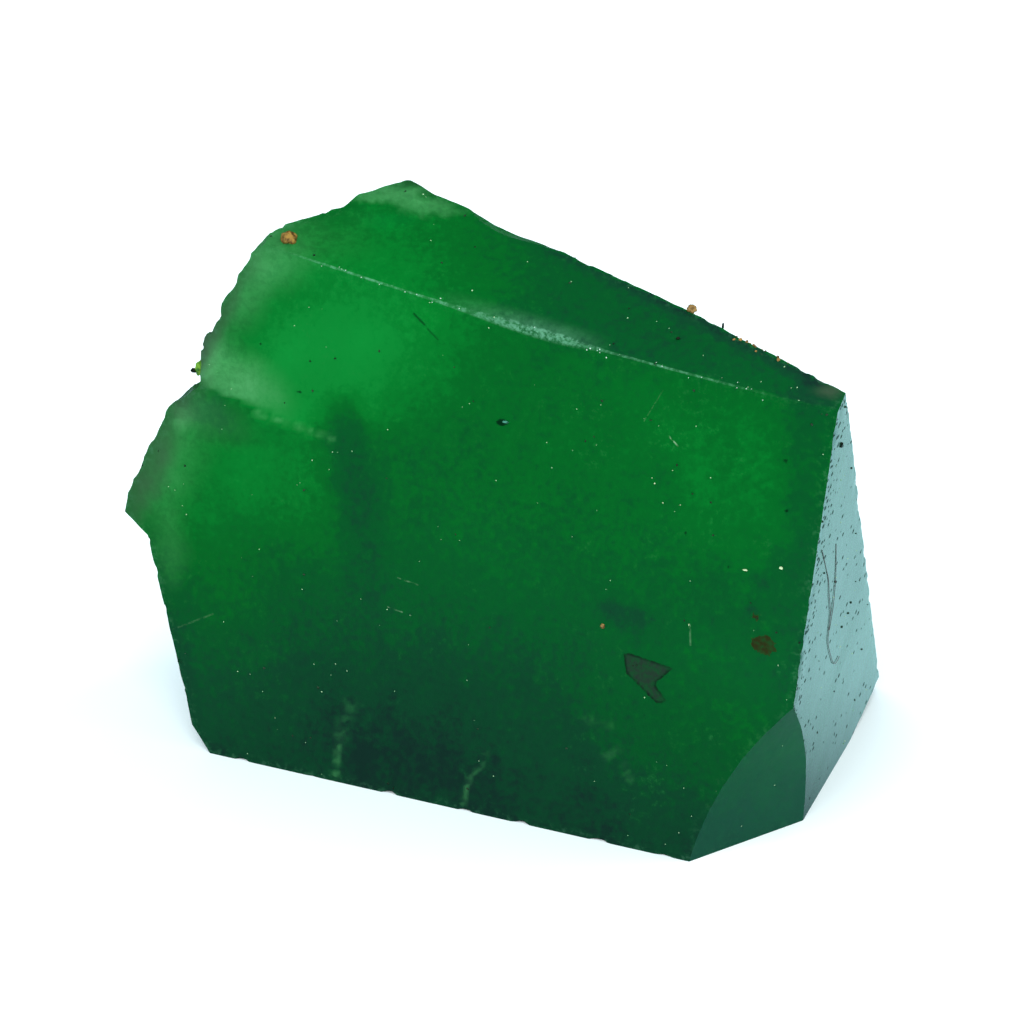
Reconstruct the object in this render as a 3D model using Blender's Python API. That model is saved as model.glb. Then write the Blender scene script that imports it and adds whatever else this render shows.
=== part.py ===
"""Rough emerald: one broken piece of a green beryl prism, standing on its flat break.

The stone is a block bounded by named facets. Two of them are prism faces that meet at 120 degrees
along a worn ridge, and one is the pitted end face that closes the prism. The others are breaks,
and those are hollowed by shell-shaped flake scars, a ledge under a spur, and chips on the edges.

Axes: +X runs along the ridge towards the end face, +Y into the stone from its broad front,
+Z up. The origin is the centre of the stone's footprint. Lengths below are millimetres.
"""

import math
import random
from typing import NamedTuple

import bmesh
import bpy
from mathutils import Matrix, Vector, noise

MM = 0.001

# The reach of every facet is measured from this point inside the stone.
HEART = Vector((0.0, 0.0, 10.0))
RAW_BLOCK = 80.0  # side of the block that the facets are cut from

GRID = 1.5  # spacing of the cuts that give the breaks enough points to undulate
SEED = 27


class Facet(NamedTuple):
    """A flat boundary: where its normal points, how far out it lies, and how rough it is."""

    azimuth: float  # degrees from +X towards +Y
    elevation: float  # degrees above the floor
    reach: float  # distance from HEART to the facet
    swell: float = 0.0  # height of slow, irregular undulation
    ripple: float = 0.0  # height of the rings that spread over a shell-shaped break

    @property
    def normal(self):
        azimuth = math.radians(self.azimuth)
        elevation = math.radians(self.elevation)
        level = math.cos(elevation)
        return Vector(
            (level * math.cos(azimuth), level * math.sin(azimuth), math.sin(elevation))
        )

    @property
    def point(self):
        return HEART + self.normal * self.reach


FACETS = {
    "base": Facet(0.0, -90.0, 10.0),
    "front": Facet(-90.0, 8.0, 6.86, swell=0.02),
    "bevel": Facet(-76.3, 67.3, 11.91, swell=0.03),
    "end": Facet(2.5, -3.9, 13.78, swell=0.03),
    "back slope right": Facet(70.6, 28.5, 4.95, swell=0.2, ripple=0.07),
    "back slope left": Facet(73.0, 32.0, 5.25, swell=0.25, ripple=0.07),
    "back prism": Facet(90.0, -8.0, 9.3, swell=0.05),
    "top break": Facet(137.9, 20.0, 7.5, swell=0.22, ripple=0.09),
    "left break": Facet(150.0, 18.6, 8.92, swell=0.18, ripple=0.07),
    "tip break": Facet(-74.6, 79.3, 12.53, swell=0.04),
    "spur nose": Facet(175.0, 6.9, 13.86, swell=0.05),
    "foot left": Facet(180.0, -38.7, 14.47, swell=0.03),
    "foot right": Facet(30.0, -65.0, 14.4, swell=0.05),
}

# The undercut below the spur: a flat wall, and the roof that the spur leaves over it.
UNDERCUT = (
    Facet(-5.0, 16.9, -12.77),
    Facet(-7.5, 52.5, -8.65),
)

# Wide shell-shaped hollows on the back: the facet, a place near its middle, radius and depth.
BACK_HOLLOWS = (
    ("back slope left", Vector((-6.0, 6.0, 14.5)), 12.0, 1.1),
    ("back slope right", Vector((4.5, 4.0, 13.5)), 17.0, 0.9),
    ("back slope right", Vector((9.0, 7.0, 4.5)), 11.0, 0.8),
    ("back prism", Vector((-3.5, 9.0, 4.5)), 12.0, 0.7),
    ("top break", Vector((-10.5, 2.0, 9.0)), 12.0, 1.0),
)

# The hollow break that takes off the lower right corner is part of a wide, level barrel.
CORNER_SCOOP_TURN = 56.1  # degrees from +X to the barrel's axis
CORNER_SCOOP_OUT = 28.2  # from the middle of the stone to the axis, at right angles to it
CORNER_SCOOP_HEIGHT = -1.2
CORNER_SCOOP_RADIUS = 15.1
CORNER_SCOOP_LENGTH = 40.0
CORNER_SCOOP_SIDES = 160
CORNER_FOOT = Vector((10.3, -8.3, 0.0))  # where the hollow corner meets the front's lower edge

# The crack that comes out between the two lobes of the left break, as a long notch.
CRACK_MOUTH = Vector((-12.0, -6.2, 15.6))
CRACK_RADIUS = 0.5
CRACK_DEPTH = 0.4
CRACK_STRETCH = 10.0

# Two bites on the left: one slants the crack's lower lip, the other blunts the shoulder above.
# Each is a place on the edge, the way out of it, radius and depth.
LEFT_BITES = (
    (Vector((-12.4, -6.2, 15.35)), Vector((-0.72, -0.1, 0.69)), 2.0, 0.52),
    (Vector((-9.3, -5.25, 21.6)), Vector((-0.66, -0.2, 0.72)), 2.6, 0.2),
)

# One wide flake is gone from the crest, right of its peak.
CREST_DIP = Vector((0.1, -1.7, 22.22))
CREST_DIP_RADIUS = 10.0
CREST_DIP_DEPTH = 0.2

RIPPLE_SPACING = 1.5
RIPPLE_START = Vector((0.0, 0.0, 9.0))  # from a facet's middle to the blow that broke it
SWELL_SIZE = 3.2
FINE_SWELL = 0.4  # share of the finer undulation laid over the slow one
FINE_SWELL_SIZE = 1.2
EDGE_FADE = 1.0  # width of the strip along each edge where the undulation dies away

# The ridge is rubbed down along its middle.
RIDGE_WEAR = 0.30
RIDGE_WEAR_WIDTH = 2.2

FLAKE_RADIUS = (1.6, 3.2)  # of the balls that leave the scars along the front edge
FLAKE_DEPTH = (0.09, 0.2)
FLAKE_GROWTH = 0.22  # how much larger a scar is for each millimetre behind that edge
UNEVEN = 0.025  # how far a scar strays from round, as a share of its radius
UNEVEN_SIZE = 2.4
CHIP_RADIUS = (0.5, 1.0)
CHIP_DEPTH = (0.07, 0.16)

GREEN = (0.010, 0.115, 0.028, 1.0)
GLOSS_ROUGHNESS = 0.25
BERYL_IOR = 1.58


def clear_scene():
    """Removes whatever the scene held."""
    for item in list(bpy.data.objects):
        bpy.data.objects.remove(item)


def meeting_point(first, second, third):
    """The point that three facets share."""
    rows = Matrix((first.normal, second.normal, third.normal))
    offsets = Vector([facet.normal.dot(facet.point) for facet in (first, second, third)])
    return rows.inverted() @ offsets


def on_facet(facet, place):
    """The point of a facet's plane nearest to a place."""
    return place - facet.normal * facet.normal.dot(place - facet.point)


def cut_block(facets, size=RAW_BLOCK):
    """A closed block with everything outside the given facets cut away."""
    mesh = bmesh.new()
    bmesh.ops.create_cube(mesh, size=size, matrix=Matrix.Translation(HEART))
    for facet in facets:
        cut = bmesh.ops.bisect_plane(
            mesh,
            geom=mesh.verts[:] + mesh.edges[:] + mesh.faces[:],
            plane_co=facet.point,
            plane_no=facet.normal,
            clear_outer=True,
        )
        rim = [item for item in cut["geom_cut"] if isinstance(item, bmesh.types.BMEdge)]
        bmesh.ops.contextual_create(mesh, geom=rim)
    bmesh.ops.recalc_face_normals(mesh, faces=mesh.faces[:])
    return mesh


def lay_grid(mesh, spacing):
    """Cuts every face along three sets of parallel planes, so that it can undulate."""
    for axis in (Vector((1, 0, 0)), Vector((0, 1, 0)), Vector((0, 0, 1))):
        places = [vertex.co.dot(axis) for vertex in mesh.verts]
        place = min(places) + spacing / 2
        while place < max(places):
            bmesh.ops.bisect_plane(
                mesh,
                geom=mesh.verts[:] + mesh.edges[:] + mesh.faces[:],
                plane_co=axis * place,
                plane_no=axis,
            )
            place += spacing


def depth_under(facet, point):
    """How far a point lies inside a facet."""
    return facet.reach - facet.normal.dot(point - HEART)


def relief(point):
    """How far the surface at a point of the block moves out of its flat facet, fading at edges."""
    depths = sorted((depth_under(facet, point), name) for name, facet in FACETS.items())
    facet = FACETS[depths[0][1]]
    fade = min(1.0, depths[1][0] / EDGE_FADE)
    swell = noise.noise(point / SWELL_SIZE)
    swell += FINE_SWELL * noise.noise(point / FINE_SWELL_SIZE)
    struck = facet.point + RIPPLE_START
    rings = math.cos(2 * math.pi * (point - struck).length / RIPPLE_SPACING)
    return facet.normal * fade * (facet.swell * swell + facet.ripple * rings)


def ridge_wear(point, start, end):
    """How far the ridge is rubbed down near a point: most at its middle, none at its ends."""
    along = end - start
    share = (point - start).dot(along) / along.length_squared
    if not 0.0 < share < 1.0:
        return 0.0
    away = (point - start - along * share).length / RIDGE_WEAR_WIDTH
    return RIDGE_WEAR * math.sin(math.pi * share) * max(0.0, 1.0 - away) ** 2


def weather(mesh):
    """Moves the block's points to the undulating surface of the breaks and the worn ridge."""
    front, bevel = FACETS["front"], FACETS["bevel"]
    ridge_left = meeting_point(front, bevel, FACETS["left break"])
    ridge_right = meeting_point(front, bevel, FACETS["end"])
    down_the_front = front.normal.cross(front.normal.cross(Vector((0.0, 0.0, 1.0)))).normalized()
    shifts = {
        vertex: relief(vertex.co) + down_the_front * ridge_wear(vertex.co, ridge_left, ridge_right)
        for vertex in mesh.verts
    }
    for vertex, shift in shifts.items():
        vertex.co += shift


def add_object(name, mesh):
    """A new object in metres, from a mesh laid out in millimetres."""
    mesh.transform(Matrix.Scale(MM, 4))
    data = bpy.data.meshes.new(name)
    mesh.to_mesh(data)
    mesh.free()
    item = bpy.data.objects.new(name, data)
    bpy.context.scene.collection.objects.link(item)
    return item


def as_cutter(item, collection):
    """Hides a mesh that only cuts, and moves it into the collection that does the cutting."""
    item.hide_render = True
    item.display_type = "WIRE"
    bpy.context.scene.collection.objects.unlink(item)
    collection.objects.link(item)


def ball(centre, radius, detail):
    """A ball with a slightly uneven skin, because no break is perfectly round."""
    mesh = bmesh.new()
    bmesh.ops.create_icosphere(mesh, subdivisions=detail, radius=radius)
    for vertex in mesh.verts:
        bulge = UNEVEN * noise.noise((centre + vertex.co) / UNEVEN_SIZE)
        vertex.co = centre + vertex.co * (1.0 + bulge)
    return mesh


def scoop(name, place, outward, radius, depth, collection, detail=3):
    """A ball that leaves a shallow hollow of the given depth at a place on the surface."""
    cutter = add_object(name, ball(place + outward * (radius - depth), radius, detail))
    as_cutter(cutter, collection)


def flake_scars(dice, collection):
    """Shell-shaped hollows on the breaks, in uneven rows from the front edge backwards."""
    front, bevel, left = FACETS["front"], FACETS["bevel"], FACETS["left break"]
    top, right, rear = FACETS["top break"], FACETS["back slope right"], FACETS["back slope left"]
    spur = meeting_point(front, left, UNDERCUT[1])
    shoulder = meeting_point(front, bevel, left)
    gable = meeting_point(bevel, left, top)
    summit = meeting_point(bevel, top, rear)
    crest_end = meeting_point(bevel, right, FACETS["end"])
    rows = (
        (left, spur, shoulder, 9, 0.0),
        (left, spur, shoulder, 6, 3.2),
        (left, spur, shoulder, 4, 7.5),
        (top, gable, summit, 5, 0.0),
        (top, gable, summit, 4, 3.6),
        (top, gable, summit, 3, 8.5),
        (rear, summit, crest_end, 5, 3.5),
        (right, summit, crest_end, 4, 8.0),
    )
    for row, (facet, start, end, count, inward) in enumerate(rows):
        along = (end - start).normalized()
        down = facet.normal.cross(along)
        if down.y < 0:
            down = -down
        growth = 1.0 + FLAKE_GROWTH * inward
        for index in range(count):
            share = (index + dice.uniform(0.3, 0.7)) / count
            place = start.lerp(end, share) + down * (inward + dice.uniform(-0.6, 0.6))
            scoop(
                f"flake_{row}_{index}",
                on_facet(facet, place),
                facet.normal,
                dice.uniform(*FLAKE_RADIUS) * growth,
                dice.uniform(*FLAKE_DEPTH) * growth,
                collection,
            )


def edge_chips(dice, collection):
    """Small bites out of the sharp edges."""
    front, bevel, base = FACETS["front"], FACETS["bevel"], FACETS["base"]
    end, right, rear = FACETS["end"], FACETS["back slope right"], FACETS["back slope left"]
    edges = (
        (front, base, meeting_point(front, base, FACETS["foot left"]), CORNER_FOOT, 7),
        (bevel, rear, meeting_point(bevel, rear, right), meeting_point(bevel, rear, FACETS["top break"]), 4),
        (bevel, right, meeting_point(bevel, rear, right), meeting_point(bevel, right, end), 5),
        (right, end, meeting_point(bevel, right, end), meeting_point(right, end, base), 5),
    )
    for row, (one, other, start, finish, count) in enumerate(edges):
        outward = (one.normal + other.normal).normalized()
        for index in range(count):
            share = (index + dice.uniform(0.2, 0.8)) / count
            scoop(
                f"chip_{row}_{index}",
                start.lerp(finish, share),
                outward,
                dice.uniform(*CHIP_RADIUS),
                dice.uniform(*CHIP_DEPTH),
                collection,
                detail=2,
            )


def cut_away(stone, name, collection):
    """Takes every cutter of a collection off the stone, with a modifier that stays live."""
    modifier = stone.modifiers.new(name, "BOOLEAN")
    modifier.operation = "DIFFERENCE"
    modifier.operand_type = "COLLECTION"
    modifier.collection = collection
    modifier.solver = "EXACT"


def new_cutters(name):
    """An empty collection for cutters, left out of renders."""
    collection = bpy.data.collections.new(name)
    collection.hide_render = True
    bpy.context.scene.collection.children.link(collection)
    return collection


def green_beryl():
    """Smooth green stone, without the clouds and stains that only a finish can give."""
    material = bpy.data.materials.new("green_beryl")
    material.use_nodes = True
    shader = material.node_tree.nodes["Principled BSDF"]
    shader.inputs["Base Color"].default_value = GREEN
    shader.inputs["Roughness"].default_value = GLOSS_ROUGHNESS
    shader.inputs["Metallic"].default_value = 0.0
    shader.inputs["IOR"].default_value = BERYL_IOR
    return material


def corner_scoop():
    """The level barrel whose hollow side is the break at the lower right corner."""
    turn = math.radians(CORNER_SCOOP_TURN)
    axis = Vector((math.cos(turn), math.sin(turn), 0.0))
    centre = Vector((axis.y, -axis.x, 0.0)) * CORNER_SCOOP_OUT
    centre.z = CORNER_SCOOP_HEIGHT
    stand = axis.to_track_quat("Z", "Y").to_matrix().to_4x4()
    mesh = bmesh.new()
    bmesh.ops.create_cone(
        mesh,
        cap_ends=True,
        segments=CORNER_SCOOP_SIDES,
        radius1=CORNER_SCOOP_RADIUS,
        radius2=CORNER_SCOOP_RADIUS,
        depth=CORNER_SCOOP_LENGTH,
        matrix=Matrix.Translation(centre) @ stand,
    )
    return mesh


def crack_notch():
    """A long round notch that runs into the stone along the crack."""
    left = FACETS["left break"]
    inward = left.normal.cross(Vector((0.0, 0.0, 1.0))).normalized()
    if inward.y < 0:
        inward = -inward
    centre = CRACK_MOUTH + left.normal * (CRACK_RADIUS - CRACK_DEPTH)
    lie = inward.to_track_quat("X", "Z").to_matrix().to_4x4()
    stretch = Matrix.Diagonal((CRACK_STRETCH, 1.0, 1.0, 1.0))
    mesh = bmesh.new()
    bmesh.ops.create_icosphere(
        mesh,
        subdivisions=4,
        radius=CRACK_RADIUS,
        matrix=Matrix.Translation(centre) @ lie @ stretch,
    )
    return mesh


def large_breaks(collection):
    """The undercut, the hollow corner, the crack, the bites on the left, the hollows and the dip."""
    as_cutter(add_object("undercut", cut_block(UNDERCUT, size=60.0)), collection)
    as_cutter(add_object("corner_scoop", corner_scoop()), collection)
    as_cutter(add_object("crack_notch", crack_notch()), collection)
    for index, (name, middle, radius, depth) in enumerate(BACK_HOLLOWS):
        facet = FACETS[name]
        place = on_facet(facet, middle)
        scoop(f"back_hollow_{index}", place, facet.normal, radius, depth, collection, detail=5)
    for index, (place, outward, radius, depth) in enumerate(LEFT_BITES):
        scoop(f"left_bite_{index}", place, outward.normalized(), radius, depth, collection, detail=4)
    crest = (FACETS["bevel"].normal + FACETS["back slope left"].normal).normalized()
    scoop("crest_dip", CREST_DIP, crest, CREST_DIP_RADIUS, CREST_DIP_DEPTH, collection, detail=5)


def stand_on_origin(stone):
    """Moves the stone and its cutters together, so that the footprint's centre is the origin."""
    bpy.context.view_layer.update()
    seen = stone.evaluated_get(bpy.context.evaluated_depsgraph_get())
    corners = [seen.matrix_world @ Vector(corner) for corner in seen.bound_box]
    lowest = Vector([min(corner[axis] for corner in corners) for axis in range(3)])
    highest = Vector([max(corner[axis] for corner in corners) for axis in range(3)])
    frame = bpy.data.objects.new("stone_frame", None)
    bpy.context.scene.collection.objects.link(frame)
    for item in bpy.data.objects:
        if item.type == "MESH":
            item.parent = frame
    frame.location = -(lowest + highest) / 2
    frame.location.z = -lowest.z
    bpy.context.view_layer.update()


def build_crystal():
    """The whole stone: the facets first, then the large breaks, the flakes and the chips."""
    block = cut_block(FACETS.values())
    lay_grid(block, GRID)
    weather(block)
    bmesh.ops.triangulate(block, faces=block.faces[:])
    stone = add_object("emerald_crystal", block)
    stone.data.materials.append(green_beryl())

    breaks = new_cutters("breaks")
    large_breaks(breaks)
    cut_away(stone, "Breaks", breaks)

    dice = random.Random(SEED)
    flakes = new_cutters("flakes")
    flake_scars(dice, flakes)
    cut_away(stone, "Flakes", flakes)

    chips = new_cutters("chips")
    edge_chips(dice, chips)
    cut_away(stone, "Chips", chips)
    stand_on_origin(stone)


def main():
    clear_scene()
    build_crystal()


main()
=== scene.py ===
"""A rough emerald crystal, 29 mm long, dressed over its solid in a pale studio.

The stone is one piece of cloudy green beryl. Its mesh is the solid, drawn finer and given
the small relief that broken and worn beryl has. Grains of rust-coloured matrix sit on it,
and two fibres lie on its end face. Sizes are in millimetres until a mesh is made.
"""

import logging
import math
from dataclasses import dataclass, field, fields
from enum import Enum

import bmesh
import bpy
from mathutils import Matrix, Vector, noise


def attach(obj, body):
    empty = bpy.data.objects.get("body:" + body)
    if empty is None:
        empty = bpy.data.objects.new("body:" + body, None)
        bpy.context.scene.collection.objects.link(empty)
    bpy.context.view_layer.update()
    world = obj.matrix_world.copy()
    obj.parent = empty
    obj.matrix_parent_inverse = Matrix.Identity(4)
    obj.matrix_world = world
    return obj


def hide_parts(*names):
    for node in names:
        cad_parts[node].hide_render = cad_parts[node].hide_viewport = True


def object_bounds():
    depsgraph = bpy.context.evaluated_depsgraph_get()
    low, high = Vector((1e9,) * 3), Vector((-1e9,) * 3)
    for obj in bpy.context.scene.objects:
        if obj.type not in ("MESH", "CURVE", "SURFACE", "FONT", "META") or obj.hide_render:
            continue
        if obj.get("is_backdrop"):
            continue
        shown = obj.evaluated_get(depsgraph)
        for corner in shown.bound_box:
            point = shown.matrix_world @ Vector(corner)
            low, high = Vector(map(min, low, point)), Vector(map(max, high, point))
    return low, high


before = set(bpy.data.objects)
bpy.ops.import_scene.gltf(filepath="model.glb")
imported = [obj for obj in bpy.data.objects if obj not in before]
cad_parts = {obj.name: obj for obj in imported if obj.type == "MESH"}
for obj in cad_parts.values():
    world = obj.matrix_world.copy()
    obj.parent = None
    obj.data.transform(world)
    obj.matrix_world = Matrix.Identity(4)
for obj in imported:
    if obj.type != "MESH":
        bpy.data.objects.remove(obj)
SOLID_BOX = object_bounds()

LOG = logging.getLogger("emerald")

NODE = "emerald_crystal"
BODY = "root"
MM = 0.001

Socket = bpy.types.NodeSocket
Feed = Socket | float | int | str | bool | tuple
Spot = tuple[float, float, float]
# A span runs between its first two numbers; the next two are the answers there.
Span = tuple[float, ...]


# ---------------------------------------------------------------- colours and faces


@dataclass(frozen=True)
class Colour:
    """A colour as the eye reads it, each part from 0 to 255."""

    red: int
    green: int
    blue: int

    def linear(self) -> tuple[float, float, float, float]:
        """The same colour as light, from 0 to 1, with full alpha."""
        parts = (self.red / 255, self.green / 255, self.blue / 255)
        return (*(p / 12.92 if p <= 0.04045 else ((p + 0.055) / 1.055) ** 2.4 for p in parts), 1.0)


WHITE = Colour(255, 255, 255)


class Face(Enum):
    """The faces that carry marks of their own, each by its outward direction."""

    FRONT = (0.0, -0.990, 0.139)
    BEVEL = (0.0914, -0.375, 0.9225)
    END = (0.9967, 0.0435, -0.068)
    CORNER = (0.7985, -0.5366, -0.2728)
    BASE = (0.0, 0.0, -1.0)


FRONT_OFFSET = 8.47
BEVEL_OFFSET = 21.217


# ---------------------------------------------------------------- node bench


class Bench:
    """A workbench for one node tree: it adds nodes and wires them in one call each."""

    def __init__(self, tree: bpy.types.NodeTree) -> None:
        """Keeps the tree that the bench works on."""
        self.tree = tree

    def add(
        self, kind: str, feeds: dict[str | int, Feed] | None = None, **settings: object
    ) -> bpy.types.Node:
        """Adds a node.

        Args:
            kind: Blender's name for the node type.
            feeds: what each input takes, by name or number.
            **settings: the node's own options.

        Returns:
            The new node.
        """
        node = self.tree.nodes.new(kind)
        for name, value in settings.items():
            setattr(node, name, value)
        for name, value in (feeds or {}).items():
            self.feed(node.inputs[name], value)
        return node

    def out(self, kind: str, feeds: dict[str | int, Feed] | None = None, **settings: object) -> Socket:
        """Adds a node as add does, and gives its first output."""
        return self.add(kind, feeds, **settings).outputs[0]

    def feed(self, socket: Socket, value: Feed) -> None:
        """Wires a socket to another, or sets its value.

        Args:
            socket: the input that is fed.
            value: the output that feeds it, or a plain value.
        """
        if isinstance(value, bpy.types.NodeSocket):
            self.tree.links.new(value, socket)
        else:
            socket.default_value = value

    def math(self, operation: str, *values: Feed, clamp: bool = False) -> Socket:
        """One sum on numbers, kept between 0 and 1 if clamp is set."""
        return self.out("ShaderNodeMath", dict(enumerate(values)), operation=operation, use_clamp=clamp)

    def chain(self, operation: str, values: tuple[Feed, ...], clamp: bool = False) -> Socket:
        """Joins several values by one operation.

        Args:
            operation: the Math node's operation.
            values: what is joined, in order.
            clamp: whether the last answer stays between 0 and 1.

        Returns:
            The last answer.
        """
        answer = values[0]
        for step, value in enumerate(values[1:], 2):
            answer = self.math(operation, answer, value, clamp=clamp and step == len(values))
        return answer

    def total(self, *values: Feed, clamp: bool = False) -> Socket:
        """The sum of several values."""
        return self.chain("ADD", values, clamp)

    def times(self, *values: Feed, clamp: bool = False) -> Socket:
        """The product of several values."""
        return self.chain("MULTIPLY", values, clamp)

    def minus(self, *values: Feed, clamp: bool = False) -> Socket:
        """The first value less the others."""
        return self.chain("SUBTRACT", values, clamp)

    def highest(self, *values: Feed) -> Socket:
        """The highest of several values."""
        return self.chain("MAXIMUM", values)

    def vector(self, operation: str, *values: Feed) -> Socket:
        """One sum on vectors.

        Args:
            operation: the Vector Math node's operation.
            *values: what goes in, in order; for SCALE the second is the factor.

        Returns:
            The answer, a number for DOT_PRODUCT, LENGTH and DISTANCE.
        """
        inputs = (0, "Scale" if operation == "SCALE" else 1)
        node = self.add("ShaderNodeVectorMath", dict(zip(inputs, values)), operation=operation)
        number = operation in ("DOT_PRODUCT", "LENGTH", "DISTANCE")
        return node.outputs["Value" if number else "Vector"]

    def toward(self, way: Feed, face: Face) -> Socket:
        """How far a vector goes the way a face looks."""
        return self.vector("DOT_PRODUCT", way, face.value)

    def parts(self, place: Feed) -> tuple[Socket, ...]:
        """A place by its three parts."""
        return tuple(self.add("ShaderNodeSeparateXYZ", {0: place}).outputs)

    def joined(self, x: Feed = 0.0, y: Feed = 0.0, z: Feed = 0.0) -> Socket:
        """A place from its three parts."""
        return self.out("ShaderNodeCombineXYZ", {0: x, 1: y, 2: z})

    def span(self, value: Feed, low: Feed, high: Feed, start: Feed = 0.0, end: Feed = 1.0) -> Socket:
        """Eases from one value to another as the input goes from low to high.

        Args:
            value: the input.
            low: where the answer is start.
            high: where the answer is end; it may be under low.
            start: the answer at low and beyond.
            end: the answer at high and beyond.

        Returns:
            The answer.
        """
        feeds = {"Value": value, "From Min": low, "From Max": high, "To Min": start, "To Max": end}
        return self.out("ShaderNodeMapRange", feeds, interpolation_type="SMOOTHSTEP")

    def noise(self, place: Feed, size: Feed, detail: float = 2.0, rough: float = 0.5) -> Socket:
        """Soft noise.

        Args:
            place: where it is read, in millimetres.
            size: the size of its lumps, in millimetres.
            detail: how many finer layers it has.
            rough: how strong the finer layers are.

        Returns:
            A number about 0.5.
        """
        scale = 1.0 / size if isinstance(size, float) else self.math("DIVIDE", 1.0, size)
        feeds = {"Vector": place, "Scale": scale, "Detail": detail, "Roughness": rough}
        return self.out("ShaderNodeTexNoise", feeds)

    def swing(self, place: Feed, size: Feed, detail: float = 2.0, rough: float = 0.5) -> Socket:
        """The same noise, about nothing."""
        return self.minus(self.noise(place, size, detail, rough), 0.5)

    def mix(self, share: Feed, first: Feed, second: Feed) -> Socket:
        """Mixes two colours.

        Args:
            share: how much of the second.
            first: the first colour.
            second: the second colour.

        Returns:
            The colour.
        """
        node = self.add("ShaderNodeMix", data_type="RGBA", blend_type="MIX")
        for number, value in ((0, share), (6, first), (7, second)):
            self.feed(node.inputs[number], value)
        return node.outputs[2]

    def ramp(self, value: Feed, *stops: tuple[float, Colour]) -> Socket:
        """A colour that runs through several stops.

        Args:
            value: where on the ramp to read, 0 to 1.
            *stops: each place and its colour.

        Returns:
            The colour.
        """
        node = self.add("ShaderNodeValToRGB", {"Fac": value})
        band = node.color_ramp
        band.interpolation = "EASE"
        while len(band.elements) < len(stops):
            band.elements.new(0.5)
        for element, (place, colour) in zip(band.elements, stops):
            element.position = place
            element.color = colour.linear()
        return node.outputs[0]

    def wander(self, place: Feed, size: float, reach: float) -> Socket:
        """The way a place strays, so that nothing drawn there is a clean shape.

        Args:
            place: the place, in millimetres.
            size: the size of the noise's lumps, in millimetres.
            reach: how far it strays, in millimetres.

        Returns:
            The way it strays.
        """
        feeds = {"Vector": place, "Scale": 1.0 / size, "Detail": 3.0, "Roughness": 0.6}
        stray = self.add("ShaderNodeTexNoise", feeds).outputs["Color"]
        return self.vector("SCALE", self.vector("SUBTRACT", stray, (0.5, 0.5, 0.5)), reach)

    def from_line(self, place: Feed, start: Feed, end: Feed) -> Socket:
        """The distance from a straight stretch.

        Args:
            place: where it is read.
            start: one end of the stretch.
            end: the other end.

        Returns:
            The distance.
        """
        run = self.vector("SUBTRACT", end, start)
        away = self.vector("SUBTRACT", place, start)
        reach = self.vector("DOT_PRODUCT", run, run)
        along = self.math("DIVIDE", self.vector("DOT_PRODUCT", away, run), reach, clamp=True)
        return self.vector("DISTANCE", away, self.vector("SCALE", run, along))

    def place(self) -> Socket:
        """The place on the piece, in millimetres.

        Returns:
            The place, from whichever node this kind of tree reads it with.
        """
        if self.tree.bl_idname == "GeometryNodeTree":
            spot = self.out("GeometryNodeInputPosition")
        else:
            spot = self.add("ShaderNodeTexCoord").outputs["Object"]
        return self.vector("SCALE", spot, 1.0 / MM)


def bench_of(owner: bpy.types.Material | bpy.types.World) -> Bench:
    """Empties the node tree of a material or a world.

    Args:
        owner: the material or the world.

    Returns:
        A bench for its tree.
    """
    owner.use_nodes = True
    owner.node_tree.nodes.clear()
    return Bench(owner.node_tree)


def add_sockets(tree: bpy.types.NodeTree, way: str, kinds: dict[str, str]) -> None:
    """Gives a tree named inputs or outputs.

    Args:
        tree: the tree.
        way: INPUT or OUTPUT.
        kinds: the kind of each socket, by its name.
    """
    for name, kind in kinds.items():
        tree.interface.new_socket(name, in_out=way, socket_type=f"NodeSocket{kind}")


# ---------------------------------------------------------------- shared effects


class Effect:
    """A shader node group that is built once, with named inputs and a mask as its output."""

    name = "effect"
    takes: dict[str, str] = {}

    def __init__(self) -> None:
        """Makes the group's tree and its sockets, and wires it."""
        self.tree = bpy.data.node_groups.new(self.name, "ShaderNodeTree")
        add_sockets(self.tree, "INPUT", self.takes)
        add_sockets(self.tree, "OUTPUT", {"Mask": "Float"})
        bench = Bench(self.tree)
        entry = bench.add("NodeGroupInput").outputs
        bench.add("NodeGroupOutput", {"Mask": self.wire(bench, entry)})

    def wire(self, bench: Bench, entry: bpy.types.NodeOutputs) -> Socket:
        """Builds what is inside; each kind of effect has its own."""
        raise NotImplementedError

    def put_in(self, bench: Bench, **feeds: Feed) -> Socket:
        """Places the group in a material and gives its mask."""
        return bench.out("ShaderNodeGroup", feeds, node_tree=self.tree)


class LineEffect(Effect):
    """A fine line between two points on a face, such as a scratch."""

    name = "fine line"
    takes = {"Place": "Vector", "Start": "Vector", "End": "Vector", "Width": "Float"}

    def wire(self, bench: Bench, entry: bpy.types.NodeOutputs) -> Socket:
        """The distance from a straight stretch, eased to nothing at its width."""
        return bench.span(bench.from_line(entry["Place"], entry["Start"], entry["End"]), entry["Width"], 0.0)


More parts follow.
